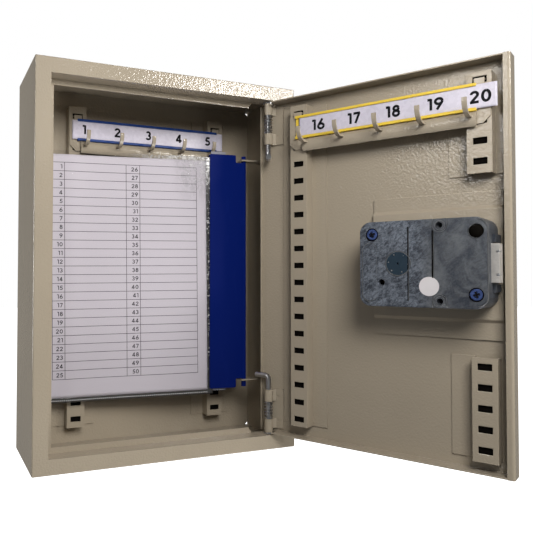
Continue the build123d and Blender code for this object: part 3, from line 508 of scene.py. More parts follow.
def clear_film(name):
    """Clear film: nearly unseen over the sheet, smoky and crinkled at its welded margins, where a row of weld dots
    runs.
    Painted highlights on its crinkles at the margins, a painted sheen at the top end by the spine and painted
    highlights along the band above the sheet make it pale and less clear there.
    The piece's own UV says where the margins are: u grows towards the free edge, v upwards."""
    f = Finish(name, {"IOR": 2.2, "Roughness": 0.12})
    u, v = f.axis(f.uv, 0), f.axis(f.uv, 1)
    inner = (u > FILM_U[0]) * (u < FILM_U[1]) * (v > FILM_V[0])
    in_row = f.math("ABSOLUTE", v - DOT_V) < DOT_HALF
    dot = (f.math("FRACT", u * DOTS) < DOT_SHARE) * in_row * (1 - inner) * (u > FILM_U[0])
    crinkle = f.noise(330.0, detail=3.0, rough=0.7, distort=1.5)
    # Painted highlights: pale, less clear specks on the crinkles of the margins
    painted_glint = crinkle.step(0.56, 0.66) * (1 - inner) * (v > 0.1)
    blotch = f.noise(120.0, detail=3.0, rough=0.6, distort=2.0).step(0.42, 0.6)
    # Painted sheen: pale, less clear blotches at the top end by the spine, joined below with painted highlights on the
    # band above the sheet
    painted_sheen = v.step(0.78, 0.99) * (1 - u.step(0.10, 0.26)) * (0.35 + 0.65 * blotch)
    painted_top_band_highlights = (v > FILM_V[1]) * (1 - u.step(0.25, 0.6)) * crinkle.step(0.40, 0.56)
    painted_sheen = f.math("MAXIMUM", painted_sheen, painted_top_band_highlights)
    # Pale at the weld dots, and where the painted highlights and sheen are
    pale = f.math("MAXIMUM", f.math("MAXIMUM", dot, painted_glint), painted_sheen)
    f.colour(f.mix(pale, (0.06, 0.06, 0.062), (0.8, 0.8, 0.8)))
    over_sheet, margin = 0.05, 0.5
    # The painted highlights and sheen also make the film less clear
    cover = over_sheet + (1 - inner) * margin + painted_glint * 0.25 + dot * 0.3 + painted_sheen * 0.5
    f.plug(f.shader.inputs["Alpha"], cover)
    f.relief(f.noise(55.0) + crinkle * 0.3 * (1 - inner), 0.6 * MM, 0.5)
    return f.material


def printed_sheet(props):
    """White sheet with a ruled table: 25 rows and two pairs of columns, from the sheet's own UV. A rule is
    where the distance to its line is under half its width."""
    f = Finish("white_paper", {"Specular IOR Level": 0.4})
    u, v = f.axis(f.uv, 0), f.axis(f.uv, 1)
    inside_u = (u > TABLE_U[0] - RULE_U / 2) * (u < TABLE_U[-1] + RULE_U / 2)
    inside_v = (v > TABLE_V[0] - RULE_V / 2) * (v < TABLE_V[1] + RULE_V / 2)
    row_height = (TABLE_V[1] - TABLE_V[0]) / TABLE_ROWS
    row = (v - TABLE_V[0]) / row_height
    off = f.math("FRACT", row + 0.5) - 0.5
    rules = f.math("ABSOLUTE", off) < RULE_V / 2 / row_height
    for edge in TABLE_U:
        rules = f.math("MAXIMUM", rules, f.math("ABSOLUTE", u - edge) < RULE_U / 2)
    tone = tuple(props.paper)
    white = f.mix(f.noise(14.0, detail=3.0).step(0.3, 0.7), shaded(tone, 0.97), tone)
    f.colour(f.mix(rules * inside_u * inside_v, white, (0.05, 0.047, 0.055)))
    f.rough(0.42 + f.noise(200.0) * 0.1)
    f.relief(f.noise(30.0), 0.7 * MM, 0.25)
    return f.material


# Index sheet and table, in millimetres from the pivot towards the free edge and up from the base
DROOP = math.radians(0.6)
SHEET = {"start": 36.5, "width": 148.0, "low": 45.2, "high": 254.2, "turn": 25.6, "turn_height": 150.2}
SHEET_HEIGHT = SHEET["high"] - SHEET["low"]
TABLE = {"low": 61.0, "high": 247.2}
TABLE_ROWS = 25
TABLE_COLUMNS = (45.7, 98.5, 110.8, 164.9, 175.5)
RULE = 0.42
TABLE_U = [(c - SHEET["start"]) / SHEET["width"] for c in TABLE_COLUMNS]
TABLE_V = [(TABLE[k] - SHEET["low"]) / SHEET_HEIGHT for k in ("low", "high")]
RULE_U = RULE / SHEET["width"]
RULE_V = RULE / SHEET_HEIGHT

# Film over the sheet, in millimetres from the sheet's turning point, and the UV places of its margins and
# weld dots; a dot fills this share of its step
FILM = {"x": (6.0, 160.5), "y": (-109.0, 107.4)}
FILM_WIDTH, FILM_HEIGHT = (FILM[k][1] - FILM[k][0] for k in ("x", "y"))
FILM_U = tuple((x - FILM["x"][0]) / FILM_WIDTH for x in (10.7, 159.1))
FILM_V = tuple((y - FILM["y"][0]) / FILM_HEIGHT for y in (-105.2, 104.2))
DOTS = 88
DOT_V = (-107.2 - FILM["y"][0]) / FILM_HEIGHT
DOT_HALF = 0.002
DOT_SHARE = 0.45

# Waves of the sheet and its film, in millimetres: one crease near the free edge and one slow swell
CREASE = {"at": 134.0, "width": 9.0, "height": 0.7}
SWELL = {"length": 21.0, "height": 0.35}

# Distances out of the flap's plane in millimetres, and the row numbers' width and stroke factors and their
# distance from the rule on their right in millimetres
LAYERS = {
    "film_front": 0.55, "sheet_front": 0.30, "sheet_back": 0.07, "film_back": -0.1, "print": 0.33, "ink": 0.05,
}
ROW_DIGITS = {"wide": 1.22, "weight": 0.16, "margin": 1.7}


def leaf(name, place, x, y, front, back, material, cells):
    """Thin sheet over the rectangle x by y, in millimetres: its front lies at out = front(u, v) and its back
    at out = back(u, v), with u and v from 0 to 1 over the sheet, joined all round the rim."""
    u, v = np.meshgrid(np.linspace(0, 1, cells[0]), np.linspace(0, 1, cells[1]))
    across, up = x[0] + (x[1] - x[0]) * u, y[0] + (y[1] - y[0]) * v
    layers = [
        np.stack([across, up, np.broadcast_to(side(u, v), u.shape)], -1).reshape(-1, 3) for side in (front, back)
    ]
    columns, rows = cells
    n = rows * columns
    faces = quads(rows, columns)
    faces += [[n + i for i in reversed(f)] for f in quads(rows, columns)]
    bottom, top = np.arange(columns), np.arange(columns) + (rows - 1) * columns
    left, right = np.arange(rows) * columns, np.arange(rows) * columns + columns - 1
    for edge in (bottom, top, left, right):
        faces += np.stack([edge[:-1], edge[1:], edge[1:] + n, edge[:-1] + n], -1).tolist()
    uv = np.concatenate([np.stack([u, v], -1).reshape(-1, 2)] * 2)
    points = place.array(np.concatenate(layers) * MM)
    piece = add_mesh(name, points, faces, material, uv=uv)
    turn_faces_out(piece)
    return piece


# Steps of a rounding, the fold angle from which an edge is rounded, and the angle under which triangles are
# one flat
EDGE_STEPS = 2
EDGE_ANGLE = math.radians(35)
FLAT_ANGLE = math.radians(1.0)


def rounded(node, width):
    """Copy of a CAD node with its triangles merged into flats and, where width isn't 0, rounded edges."""
    piece = bpy.data.objects.new(node + "_soft_edged", NODES[node].data.copy())
    bpy.context.scene.collection.objects.link(piece)
    bm = bmesh.new()
    bm.from_mesh(piece.data)
    bmesh.ops.remove_doubles(bm, verts=bm.verts, dist=2e-6)
    bmesh.ops.dissolve_limit(bm, angle_limit=FLAT_ANGLE, verts=bm.verts, edges=bm.edges)
    bm.to_mesh(piece.data)
    bm.free()
    if node in STRETCH:
        place, start, by = STRETCH[node]
        corners = np.empty(len(piece.data.vertices) * 3, np.float32)
        piece.data.vertices.foreach_get("co", corners)
        corners = corners.reshape(-1, 3)
        along = (corners - np.array(place.origin)) @ np.array(place.across)
        corners[along > start * MM] += np.array(place.across * by * MM)
        piece.data.vertices.foreach_set("co", corners.ravel())
        piece.data.update()
    piece.data.polygons.foreach_set("use_smooth", [False] * len(piece.data.polygons))
    if width:
        edge = piece.modifiers.new("edge", "BEVEL")
        edge.width = width
        edge.segments = EDGE_STEPS
        edge.limit_method = "ANGLE"
        edge.angle_limit = EDGE_ANGLE
    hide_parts(node)
    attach(piece, BODY[node])
    return piece


# Work planes of the flap and the two label strips
FLAP_ANGLE = math.radians(6.4)
FLAP_OUT = Vector((-math.sin(FLAP_ANGLE), -math.cos(FLAP_ANGLE), 0))
FLAP_WAY = Vector((-math.cos(FLAP_ANGLE), math.sin(FLAP_ANGLE), 0))
SHEET_ALONG = FLAP_WAY * math.cos(DROOP) - UP * math.sin(DROOP)
SHEET_UP = UP * math.cos(DROOP) + FLAP_WAY * math.sin(DROOP)


def at_height(point, height):
    """The point moved to a height in millimetres above the cabinet's base."""
    return Vector((point.x, point.y, BASE + height * MM))


SHEET_PLACE = Place(
    at_height(PIVOT + FLAP_WAY * SHEET["turn"] * MM, SHEET["turn_height"]), SHEET_ALONG, SHEET_UP, FLAP_OUT
)

# Column faces, in millimetres: on the door from the hinge line, inside from the cabinet's front
DOOR_FACE = 5.8
BACK_FACE = 70.5
RIGHTWARDS, FORWARDS = Vector((1, 0, 0)), Vector((0, -1, 0))
DOOR_STRIP = Place(at_height(HINGE + INWARD * DOOR_FACE * MM, 272.5), ALONG, UP, INWARD)
INSIDE_STRIP = Place(
    at_height(Vector((SHELL_LOW.x, SHELL_LOW.y + BACK_FACE * MM, 0)), 276.6), RIGHTWARDS, UP, FORWARDS
)

# Parts that reach a little further in the photograph than in the CAD: the plane in whose across direction
# they are pulled, where the pull starts and by how much, in millimetres
FLAP = Place(PIVOT, FLAP_WAY, UP, FLAP_OUT)
STRETCH = {
    "index_spine": (FLAP, 20.0, 2.8),
    "index_binding_strip": (FLAP, 0.0, 1.5),
    "label_holder_door": (Place(DOOR_STRIP.origin, -UP, ALONG, INWARD), 3.0, 1.2),
    "label_holder_inside": (Place(INSIDE_STRIP.origin, -UP, ALONG, INWARD), 3.0, 1.2),
}


class KeyCabinetFinish(bpy.types.PropertyGroup):
    paint: bpy.props.FloatVectorProperty(
        name="Paint", description="Powder coat on the sheet metal", subtype="COLOR",
        default=(0.375, 0.322, 0.245), min=0, max=1)
    peel_scale: bpy.props.FloatProperty(
        name="Orange peel", description="Bumps to the metre in the skin of the powder coat",
        default=640.0, min=100)
    peel_height: bpy.props.FloatProperty(
        name="Peel height", description="Height of the skin's bumps", unit="LENGTH",
        default=0.00027, min=0)
    edge_round: bpy.props.FloatProperty(
        name="Edge rounding", description="Radius of the bent and cut edges", unit="LENGTH",
        default=0.00055, min=0)
    zinc_light: bpy.props.FloatVectorProperty(
        name="Casting, light", description="Pale cloudy marks of the die casting", subtype="COLOR",
        default=(0.26, 0.295, 0.35), min=0, max=1)
    zinc_dark: bpy.props.FloatVectorProperty(
        name="Casting, dark", description="Dark marks of the die casting", subtype="COLOR",
        default=(0.045, 0.052, 0.068), min=0, max=1)
    spine: bpy.props.FloatVectorProperty(
        name="Spine", description="Moulded spine of the index flap", subtype="COLOR",
        default=(0.0015, 0.010, 0.120), min=0, max=1)
    paper: bpy.props.FloatVectorProperty(
        name="Paper", description="Index sheet", subtype="COLOR", default=(0.64, 0.60, 0.66), min=0, max=1)


class KeyCabinetLabels(bpy.types.PropertyGroup):
    digit_height: bpy.props.FloatProperty(
        name="Digit height", description="Height of the key numbers", unit="LENGTH", default=0.0084)
    digit_weight: bpy.props.FloatProperty(
        name="Digit weight", description="Stroke width as a share of the height",
        default=0.225, min=0.02, max=0.4)
    inside_first: bpy.props.IntProperty(
        name="First inside", description="First number inside", default=1, min=0)
    door_first: bpy.props.IntProperty(
        name="First on door", description="First number on the door", default=16, min=0)
    row_digit: bpy.props.FloatProperty(
        name="Row number height", description="Height of the index rows' numbers", unit="LENGTH",
        default=0.0036)


class KeyCabinetStage(bpy.types.PropertyGroup):
    floor_drop: bpy.props.FloatProperty(
        name="Floor drop", description="Floor below the cabinet", unit="LENGTH", default=0.5, min=0)
    backdrop: bpy.props.FloatVectorProperty(
        name="Backdrop", description="Tone of the room", subtype="COLOR",
        default=(1.0, 1.0, 1.0), min=0, max=1)
    key_power: bpy.props.FloatProperty(
        name="Light", description="Power that all lights are a share of", unit="POWER", default=6.0, min=0)
    room_light: bpy.props.FloatProperty(
        name="Room light", description="How much light the room sends back", default=0.15, min=0)
    floor_glow: bpy.props.FloatProperty(
        name="Floor lift", description="How far the floor is lifted towards white", default=1.2, min=0)


def new_piece(piece, body, slot, *nodes):
    """Say which body a piece rides on and the CAD nodes that it replaces. The slot argument is not used."""
    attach(piece, body)
    if nodes:
        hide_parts(*nodes)
    return piece


class KEYCABINET_OT_finishes(bpy.types.Operator):
    """Make each finish and put it on the nodes that have it"""

    bl_idname = "keycabinet.finishes"
    bl_label = "Finishes"

    def execute(self, context):
        props = context.scene.key_cabinet_finish
        FINISHES.update(
            beige_powder_coat=powder_coat(props),
            die_cast_zinc=die_cast(props),
            bolt_steel=bright_metal("bolt_steel", (0.60, 0.575, 0.54), 0.36, metal=0.45),
            zinc_plated_steel=bright_metal("zinc_plated_steel", (0.66, 0.67, 0.69), 0.27, 0.08),
            blue_zinc_screw=bright_metal("blue_zinc_screw", (0.12, 0.19, 0.50), 0.26, metal=0.8),
            wheel_brass=bright_metal("wheel_brass", (0.62, 0.45, 0.17), 0.3),
            dial_black=plastic("dial_black", (0.012, 0.012, 0.013), 0.3, 0.15),
            blue_holder_plastic=plastic("blue_holder_plastic", (0.012, 0.045, 0.20), 0.34, 0.25),
            yellow_holder_plastic=plastic("yellow_holder_plastic", (0.78, 0.55, 0.055), 0.34, 0.2),
            blue_spine_plastic=plastic("blue_spine_plastic", tuple(props.spine), 0.4, 0.25, gloss=0.16),
            label_card=card("label_card", (0.60, 0.57, 0.66)),
            clear_film=clear_film("clear_film"),
            white_paper=printed_sheet(props),
            seal=card("seal", (0.70, 0.67, 0.68), 0.45),
            ink=ink("ink", (0.006, 0.006, 0.008)),
            grey_ink=ink("grey_ink", (0.012, 0.011, 0.014)),
            shade=shade("shade"),
            milky_film=plastic("milky_film", (0.28, 0.28, 0.32), 0.4, 0.3),
            dark_disc=plastic("dark_disc", (0.012, 0.028, 0.045), 0.34, 0.2),
            ivory=ink("ivory", (0.8, 0.8, 0.76)),
            # Paler zinc whose colour paints the highlights on the lock cover's ribs
            worn_zinc=bright_metal("worn_zinc", (0.36, 0.37, 0.38), 0.34, 0.2),
        )
        for node, slot in SLOT.items():
            slots = NODES[node].data.materials
            slots.clear()
            slots.append(FINISHES[OWN_FINISH.get(node, slot)])
        return {"FINISHED"}


# Nodes whose look differs from the rest of their slot
OWN_FINISH = {"seal_disc": "seal", "bearing_disc": "dark_disc", "index_binding_strip": "milky_film"}


class KEYCABINET_OT_edges(bpy.types.Operator):
    """Round the bent and cut edges of the sheet metal, castings and mouldings"""

    bl_idname = "keycabinet.edges"
    bl_label = "Rounded edges"

    def execute(self, context):
        radius = context.scene.key_cabinet_finish.edge_round
        for node in SLOT:
            if node in EDGES:
                rounded(node, EDGES[node] * radius)
        return {"FINISHED"}


# Share of the common edge rounding that each node takes
EDGES = {
    "cabinet_shell": 1.0,
    "door_pan": 1.0,
    "back_column_left": 0.8,
    "back_column_right": 0.8,
    "door_column_hinge_side": 0.8,
    "door_column_upper": 0.8,
    "door_column_lower": 0.8,
    "hook_bar_door": 0.7,
    "hook_bar_inside": 0.7,
    "lock_plate": 1.0,
    "lock_cover": 1.0,
    "lock_case": 1.2,
    "index_spine": 1.5,
    "bolt": 1.2,
    "hinge_bracket_lower": 0.6,
    "hinge_bracket_upper": 0.6,
    "label_holder_door": 0.6,
    "label_holder_inside": 0.6,
    "index_binding_strip": 0.4,
}


class KEYCABINET_OT_springs(bpy.types.Operator):
    """Hinge springs: smooth-shaded copies of the CAD springs on their bodies"""

    bl_idname = "keycabinet.springs"
    bl_label = "Hinge springs"

    def execute(self, context):
        for side in ("upper", "lower"):
            node, joint = "hinge_spring_" + side, side + "_pin_slide"
            spring = rounded(node, 0.0)
            spring.data.polygons.foreach_set("use_smooth", [True] * len(spring.data.polygons))
            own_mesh(spring)
        return {"FINISHED"}


class KEYCABINET_OT_labels(bpy.types.Operator):
    """Numbered label strips in their holders, on the door and inside"""

    bl_idname = "keycabinet.labels"
    bl_label = "Numbered labels"

    def execute(self, context):
        props = context.scene.key_cabinet_labels
        rng = np.random.default_rng(7)
        for node, body, place, ends, first, numbers, drop, share in (
            (
                "label_insert_door", "door_label", DOOR_STRIP, (34.6, 182.6),
                props.door_first, DOOR_NUMBERS, -0.9, 1.0,
            ),
            (
                "label_insert_inside", "inside_label", INSIDE_STRIP, (43.3, 188.9),
                props.inside_first, INSIDE_NUMBERS, -0.2, 0.93,
            ),
        ):
            phase = rng.uniform(0, 2 * np.pi, 4)

            def front(u, v, phase=phase):
                """Face of the card: three sine waves on its even height."""
                waves = np.sin(19 * u + phase[0]) + np.sin(31 * u + 3 * v + phase[1])
                waves += np.sin(53 * u - 4 * v + phase[2])
                return CARD["face"] + CARD["wave"] * waves

            strip = leaf(
                node + "_printed", place, ends, CARD["up"], front, lambda u, v: CARD["back"],
                FINISHES["label_card"], (90, 12),
            )
            new_piece(strip, body, "label_card", node)
            items = [(str(first + i), at * MM, drop * MM) for i, at in enumerate(numbers)]
            raised = Place(place.origin + place.out * CARD["print"] * MM, place.across, place.up, place.out)
            digits = draw_numbers(
                node + "_numbers", items, raised, props.digit_height * share, props.digit_weight,
                FINISHES["ink"], CARD["ink"] * MM, wide=1.18,
            )
            new_piece(digits, body, "label_card")
        return {"FINISHED"}


# Middles of the key numbers along each strip, and the cards' lower and upper edge, back, face and print
# over the column faces, all in millimetres
DOOR_NUMBERS = (51.9, 82.1, 112.4, 142.7, 172.3)
INSIDE_NUMBERS = (53.8, 84.2, 113.8, 143.9, 173.5)
CARD = {"up": (-8.9, 7.7), "back": 2.56, "face": 3.29, "wave": 0.025, "print": 3.33, "ink": 0.06}


class KEYCABINET_OT_slots(bpy.types.Operator):
    """Painted shade: a dark sheet behind the slots of the five columns"""

    bl_idname = "keycabinet.slots"
    bl_label = "Slot shade"

    def execute(self, context):
        door = Place(at_height(HINGE, 0), ALONG, UP, INWARD)
        back = Place(SHELL_LOW, RIGHTWARDS, UP, FORWARDS)
        for node, place, across, height, face in (
            ("door_column_hinge_side", door, (26.6, 38.0), (25.5, 289.5), DOOR_FACE),
            ("door_column_upper", door, (164.1, 176.9), (221.0, 288.4), DOOR_FACE),
            ("door_column_lower", door, (165.8, 178.9), (23.2, 91.3), DOOR_FACE),
            ("back_column_left", back, (42.7, 54.7), (18.0, 295.0), -BACK_FACE),
            ("back_column_right", back, (176.7, 188.7), (18.0, 295.0), -BACK_FACE),
        ):
            # A dark sheet a little behind each column's face, as painted shade seen through the slots
            block = slab(place, across, height, (face - 2.1, face - 1.9))
            painted_slot_shade = solid(node + "_lining", [block], FINISHES["shade"], smooth=False)
            new_piece(painted_slot_shade, BODY[node], SLOT[node])
        return {"FINISHED"}


class KEYCABINET_OT_lock_details(bpy.types.Operator):
    """Ribs, bosses, staked disc and screw recesses of the lock cover, with painted highlights on the ribs and round
    the bearing disc, painted shade in its grooves, round its screws, in its large hole and in the screws' cross
    recesses; shiny bolt screws
    """

    bl_idname = "keycabinet.lock_details"
    bl_label = "Lock details"

    def execute(self, context):
        face = Place(SPINDLE + INWARD * (LOCK_FACE * MM - (SPINDLE - HINGE).dot(INWARD)), ALONG, UP, INWARD)
        cover = BODY["lock_cover"]

        def joined(*bends):
            """One path through several arcs."""
            return np.concatenate([arc(*bend) for bend in bends])

        def u_shape(x, y, r, leg):
            """Half circle of radius r about (x, y) with two straight legs, which point up or down."""
            bend = arc(x, y, r, r, 180, 360 if leg > 0 else 0, 16)
            return np.concatenate([[(x - r, y + leg)], bend, [(x + r, y + leg)]])

        # Ribs of the cover, raised and in a paler metal whose colour paints the highlights along the grooves, bosses
        # and pad and on one side of the large hole: path, half width, half height and lift of the middle over the face
        ribs = (
            (line((7.5, 25.4), (7.5, -25.9)), 0.16, 0.16, 0),
            (line((24.2, 22.0), (24.2, -10.2)), 0.17, 0.18, 0),
            (line((24.2, -24.5), (24.2, -29.5)), 0.15, 0.16, 0),
            (u_shape(28.2, 25.8, 4.6, 4.4), 0.22, 0.22, 0),
            (u_shape(28.0, -26.0, 4.6, -4.4), 0.22, 0.22, 0),
            (arc(28.4, 25.6, 3.2, 3.2, 0, 360, 28), 0.25, 0.2, 0),
            (arc(28.2, -25.9, 3.2, 3.2, 0, 360, 28), 0.25, 0.2, 0),
            (joined((50.0, 22.4, 8.0, 6.6, 75, 0, 10), (50.0, -22.6, 8.0, 6.6, 0, -75, 10)), 0.34, 0.24, -0.12),
            (arc(-19.2, -20.8, 6.8, 7.2, 178, 262, 12), 0.25, 0.22, -0.1),
            (joined((*PAD_TOP, 90, 180, 8), (*PAD_LOW, 180, 270, 8)), 0.2, 0.18, 0),
            (joined((*PAD_LOW, 270, 360, 8), (*PAD_TOP, 0, 90, 8)), 0.12, 0.12, 0),
            (arc(*HOLE, 4.55, 4.55, 100, 280, 20), 0.16, 0.16, 0),
        )
        pale = [ridge(face, *rib) for rib in ribs]
        # A raised ring round the bearing disc, in the same paler metal: a painted highlight
        pale.append(turned(face, 0, 0, [(8.15, -0.3), (8.3, 0.02), (8.6, 0.16), (8.9, 0.06), (9.0, -0.3)], 56))
        new_piece(solid("lock_cover_ribs", pale, FINISHES["worn_zinc"]), cover, "die_cast_zinc")
        # Painted shade: dark strips beside the grooves, dark rings round the screws and a dark disc deep in the large
        # hole
        dark = [
            ridge(face, line((6.95, 25.6), (6.95, -26.2)), 0.3, 0.06),
            ridge(face, line((23.5, 22.4), (23.5, -10.2)), 0.36, 0.06),
            *(ridge(face, arc(x, y, 4.3, 4.3, 0, 360, 32), 0.3, 0.08) for x, y, tilt in SCREWS),
            turned(face, *HOLE, [(0, -0.5), (4.4, -0.5), (4.4, -0.3), (0, -0.3)], 32),
        ]
        new_piece(solid("lock_cover_painted_shade", dark, FINISHES["shade"]), cover, "die_cast_zinc")
        disc = turned(face, 0, 0, [(0.75, -0.3), (0.75, 0.02), (8.1, 0.02), (8.1, -0.3)], 56)
        new_piece(solid("bearing_face", [disc], FINISHES["dark_disc"], smooth=False), cover, "die_cast_zinc")
        stakes = []
        for degrees, r in STAKES:
            a = math.radians(degrees)
            dome = [(0, -0.1), (r, -0.1), (r * 0.8, 0.12), (r * 0.4, 0.24), (0, 0.26)]
            stakes.append(turned(face, STAKE_RING * math.cos(a), STAKE_RING * math.sin(a), dome, 14))
        new_piece(solid("bearing_stakes", stakes, FINISHES["zinc_plated_steel"]), cover, "zinc_plated_steel")
        # Painted shade: dark slabs that stand for the shade in the screws' cross recesses
        painted_recess_shade = []
        for x, y, tilt in SCREWS:
            middle = face.array(np.array([x, y, 0.0]) * MM)
            for turn in (tilt, tilt + math.pi / 2):
                way = ALONG * math.cos(turn) + UP * math.sin(turn)
                side = UP * math.cos(turn) - ALONG * math.sin(turn)
                bar = Place(middle, way, side, INWARD)
                painted_recess_shade.append(slab(bar, (-2.1, 2.1), (-0.55, 0.55), (-0.5, 0.03)))
        new_piece(solid("screw_recess_painted_shade", painted_recess_shade, FINISHES["ink"], smooth=False), cover, "blue_zinc_screw")

        low, high = (near("bolt", UP) - BASE) / MM, (reach("bolt", UP) - BASE) / MM
        to_nose = ALONG * (reach("bolt", ALONG) - HINGE.dot(ALONG))
        to_face = INWARD * (reach("bolt", INWARD) - HINGE.dot(INWARD))
        nose = Place(at_height(HINGE + to_nose + to_face, 0), ALONG, UP, INWARD)
        end = [(0, -1.2), (1.25, -1.2), (1.2, -0.2), (0.8, 0.25), (0, 0.4)]
        tips = [turned(nose, -1.0, low + share * (high - low), end, 20) for share in (0.2, 0.8)]
        new_piece(solid("bolt_screw_ends", tips, FINISHES["zinc_plated_steel"]), BODY["bolt"], "zinc_plated_steel")
        return {"FINISHED"}


# Places on the lock cover, in millimetres from the spindle along the door and up: the two round ends of the
# pressed pad with their half sizes, the large hole, and the mounting screws with the turn of their recesses
PAD_TOP = (-20.4, 9.4, 5.3, 5.6)
PAD_LOW = (-20.4, -21.4, 5.3, 5.6)
HOLE = (50.9, 20.8)
SCREWS = ((-18.6, 21.0, 0.5), (50.8, -21.1, 0.35))
# Stakes round the bearing disc: radius of their ring, then the angle in degrees and radius of each
STAKE_RING = 6.7
STAKES = ((-5, 0.3), (54, 0.4), (114, 0.62), (172, 0.5), (229, 0.7), (295, 0.55))


class KEYCABINET_OT_dial_marks(bpy.types.Operator):
    """Divisions and plain numbers round the dial's skirt"""

    bl_idname = "keycabinet.dial_marks"
    bl_label = "Dial marks"

    def execute(self, context):
        lip = SPINDLE + INWARD * (-DIAL["lip"] * MM - (SPINDLE - HINGE).dot(INWARD))
        place = Place(lip, -ALONG, UP, -INWARD)

        def skirt(r):
            """Height of the conical skirt over its lip at radius r."""
            return (DIAL["rim"] * MM - r) / ((DIAL["rim"] - DIAL["step"]) * MM) * DIAL["rise"] * MM

        marks = []
        for i in range(100):
            a = math.radians(3.6 * i)
            inner, half = DIVISIONS[10 if i % 10 == 0 else 5 if i % 5 == 0 else 1]
            radial, round_ = np.array((math.sin(a), math.cos(a))), np.array((math.cos(a), -math.sin(a)))
            corners = [
                (*(radial * r + round_ * w), skirt(r) + lift)
                for r in (inner * MM, DIAL["marks"] * MM) for w in (-half * MM, half * MM)
                for lift in (-0.2 * MM, 0.05 * MM)
            ]
            marks.append((place.array(corners), BOX_FACES))
        divisions = solid("dial_divisions", marks, FINISHES["ivory"], smooth=False)
        new_piece(divisions, BODY["dial"], SLOT["dial"])
        angles = [math.radians(36.0 * i) for i in range(10)]
        ring = DIAL["numbers"] * MM
        items = [(str(10 * i), ring * math.sin(a), ring * math.cos(a)) for i, a in enumerate(angles)]
        numbers = draw_numbers(
            "dial_numbers", items, place, DIAL["digit"] * MM, 0.14, FINISHES["ivory"], 0.06 * MM,
            turn=[-a for a in angles], ground=lambda x, y: skirt(np.hypot(x, y)),
        )
        new_piece(numbers, BODY["dial"], SLOT["dial"])
        return {"FINISHED"}


# Dial, in millimetres: lip of the skirt outside the hinge line, radii of the rim and of the knob's step, rise
# of the cone between them, outer radius of the divisions, radius of the numbers and their height
DIAL = {"lip": 15.1, "rim": 35.6, "step": 27.6, "rise": 4.0, "marks": 35.1, "numbers": 29.7, "digit": 2.7}
# Inner radius and half width of the divisions at every tenth, every fifth and every other place
DIVISIONS = {10: (31.5, 0.22), 5: (32.6, 0.14), 1: (33.5, 0.14)}


class KEYCABINET_OT_index_flap(bpy.types.Operator):
    """Printed index sheet in its clear wallet"""

    bl_idname = "keycabinet.index_flap"
    bl_label = "Index flap"

    def execute(self, context):
        props = context.scene.key_cabinet_labels
        left = SHEET["start"] - SHEET["turn"]
        height = tuple(SHEET[k] - SHEET["turn_height"] for k in ("low", "high"))

        def bend(across):
            """Waves of the sheet and its film, in millimetres out of their plane: a bell-shaped crease and a
            slow sine."""
            crease = CREASE["height"] * np.exp(-(((across - CREASE["at"]) / CREASE["width"]) ** 2))
            return crease + SWELL["height"] * np.sin(across / SWELL["length"])

        def sheet_bend(u):
            return bend(left + u * SHEET["width"])

        def film_bend(u):
            return bend(FILM["x"][0] + u * FILM_WIDTH)

        def film_front(u, v):
            """Front of the film: its bend, a faint ripple, and folds that fan out at the top by the spine."""
            near_spine = np.exp(-((u / 0.16) ** 2)) * np.exp(-(((v - 0.95) / 0.09) ** 2))
            fan = np.sin(60 * np.arctan2(1.02 - v, u + 0.02)) + np.sin(140 * u + 30 * v)
            ripple = np.sin(9 * u + 4 * v) + np.sin(17 * v - 6 * u + 2)
            return LAYERS["film_front"] + film_bend(u) + 0.035 * ripple + 0.22 * near_spine * (1.6 + fan)

        sheet = leaf(
            "index_sheet_printed", SHEET_PLACE, (left, left + SHEET["width"]), height,
            lambda u, v: LAYERS["sheet_front"] + sheet_bend(u), lambda u, v: LAYERS["sheet_back"] + sheet_bend(u),
            FINISHES["white_paper"], (60, 80),
        )
        new_piece(sheet, "index_flap", "white_paper", "index_sheet")
        wallet = leaf(
            "index_wallet_film", SHEET_PLACE, FILM["x"], FILM["y"],
            film_front, lambda u, v: LAYERS["film_back"] + film_bend(u), FINISHES["clear_film"], (120, 150),
        )
        new_piece(wallet, "index_flap", "clear_film", "index_wallet")

        pitch = (TABLE["high"] - TABLE["low"]) / TABLE_ROWS
        items = []
        for i in range(TABLE_ROWS):
            up = (TABLE["high"] - (i + 0.5) * pitch - SHEET["turn_height"]) * MM
            for number, edge in ((i + 1, TABLE_COLUMNS[3]), (i + 1 + TABLE_ROWS, TABLE_COLUMNS[1])):
                text = str(number)
                end = (edge - SHEET["turn"] + ROW_DIGITS["margin"]) * MM
                items.append((text, -end - number_width(text, props.row_digit, ROW_DIGITS["wide"]) / 2, up))
        raised = Place(SHEET_PLACE.origin + FLAP_OUT * LAYERS["print"] * MM, -SHEET_ALONG, SHEET_UP, FLAP_OUT)
        rows = draw_numbers(
            "index_row_numbers", items, raised, props.row_digit, ROW_DIGITS["weight"], FINISHES["grey_ink"],
            LAYERS["ink"] * MM, wide=ROW_DIGITS["wide"], ground=lambda x, y: bend(-x / MM) * MM,
        )
        new_piece(rows, "index_flap", "white_paper")
        return {"FINISHED"}


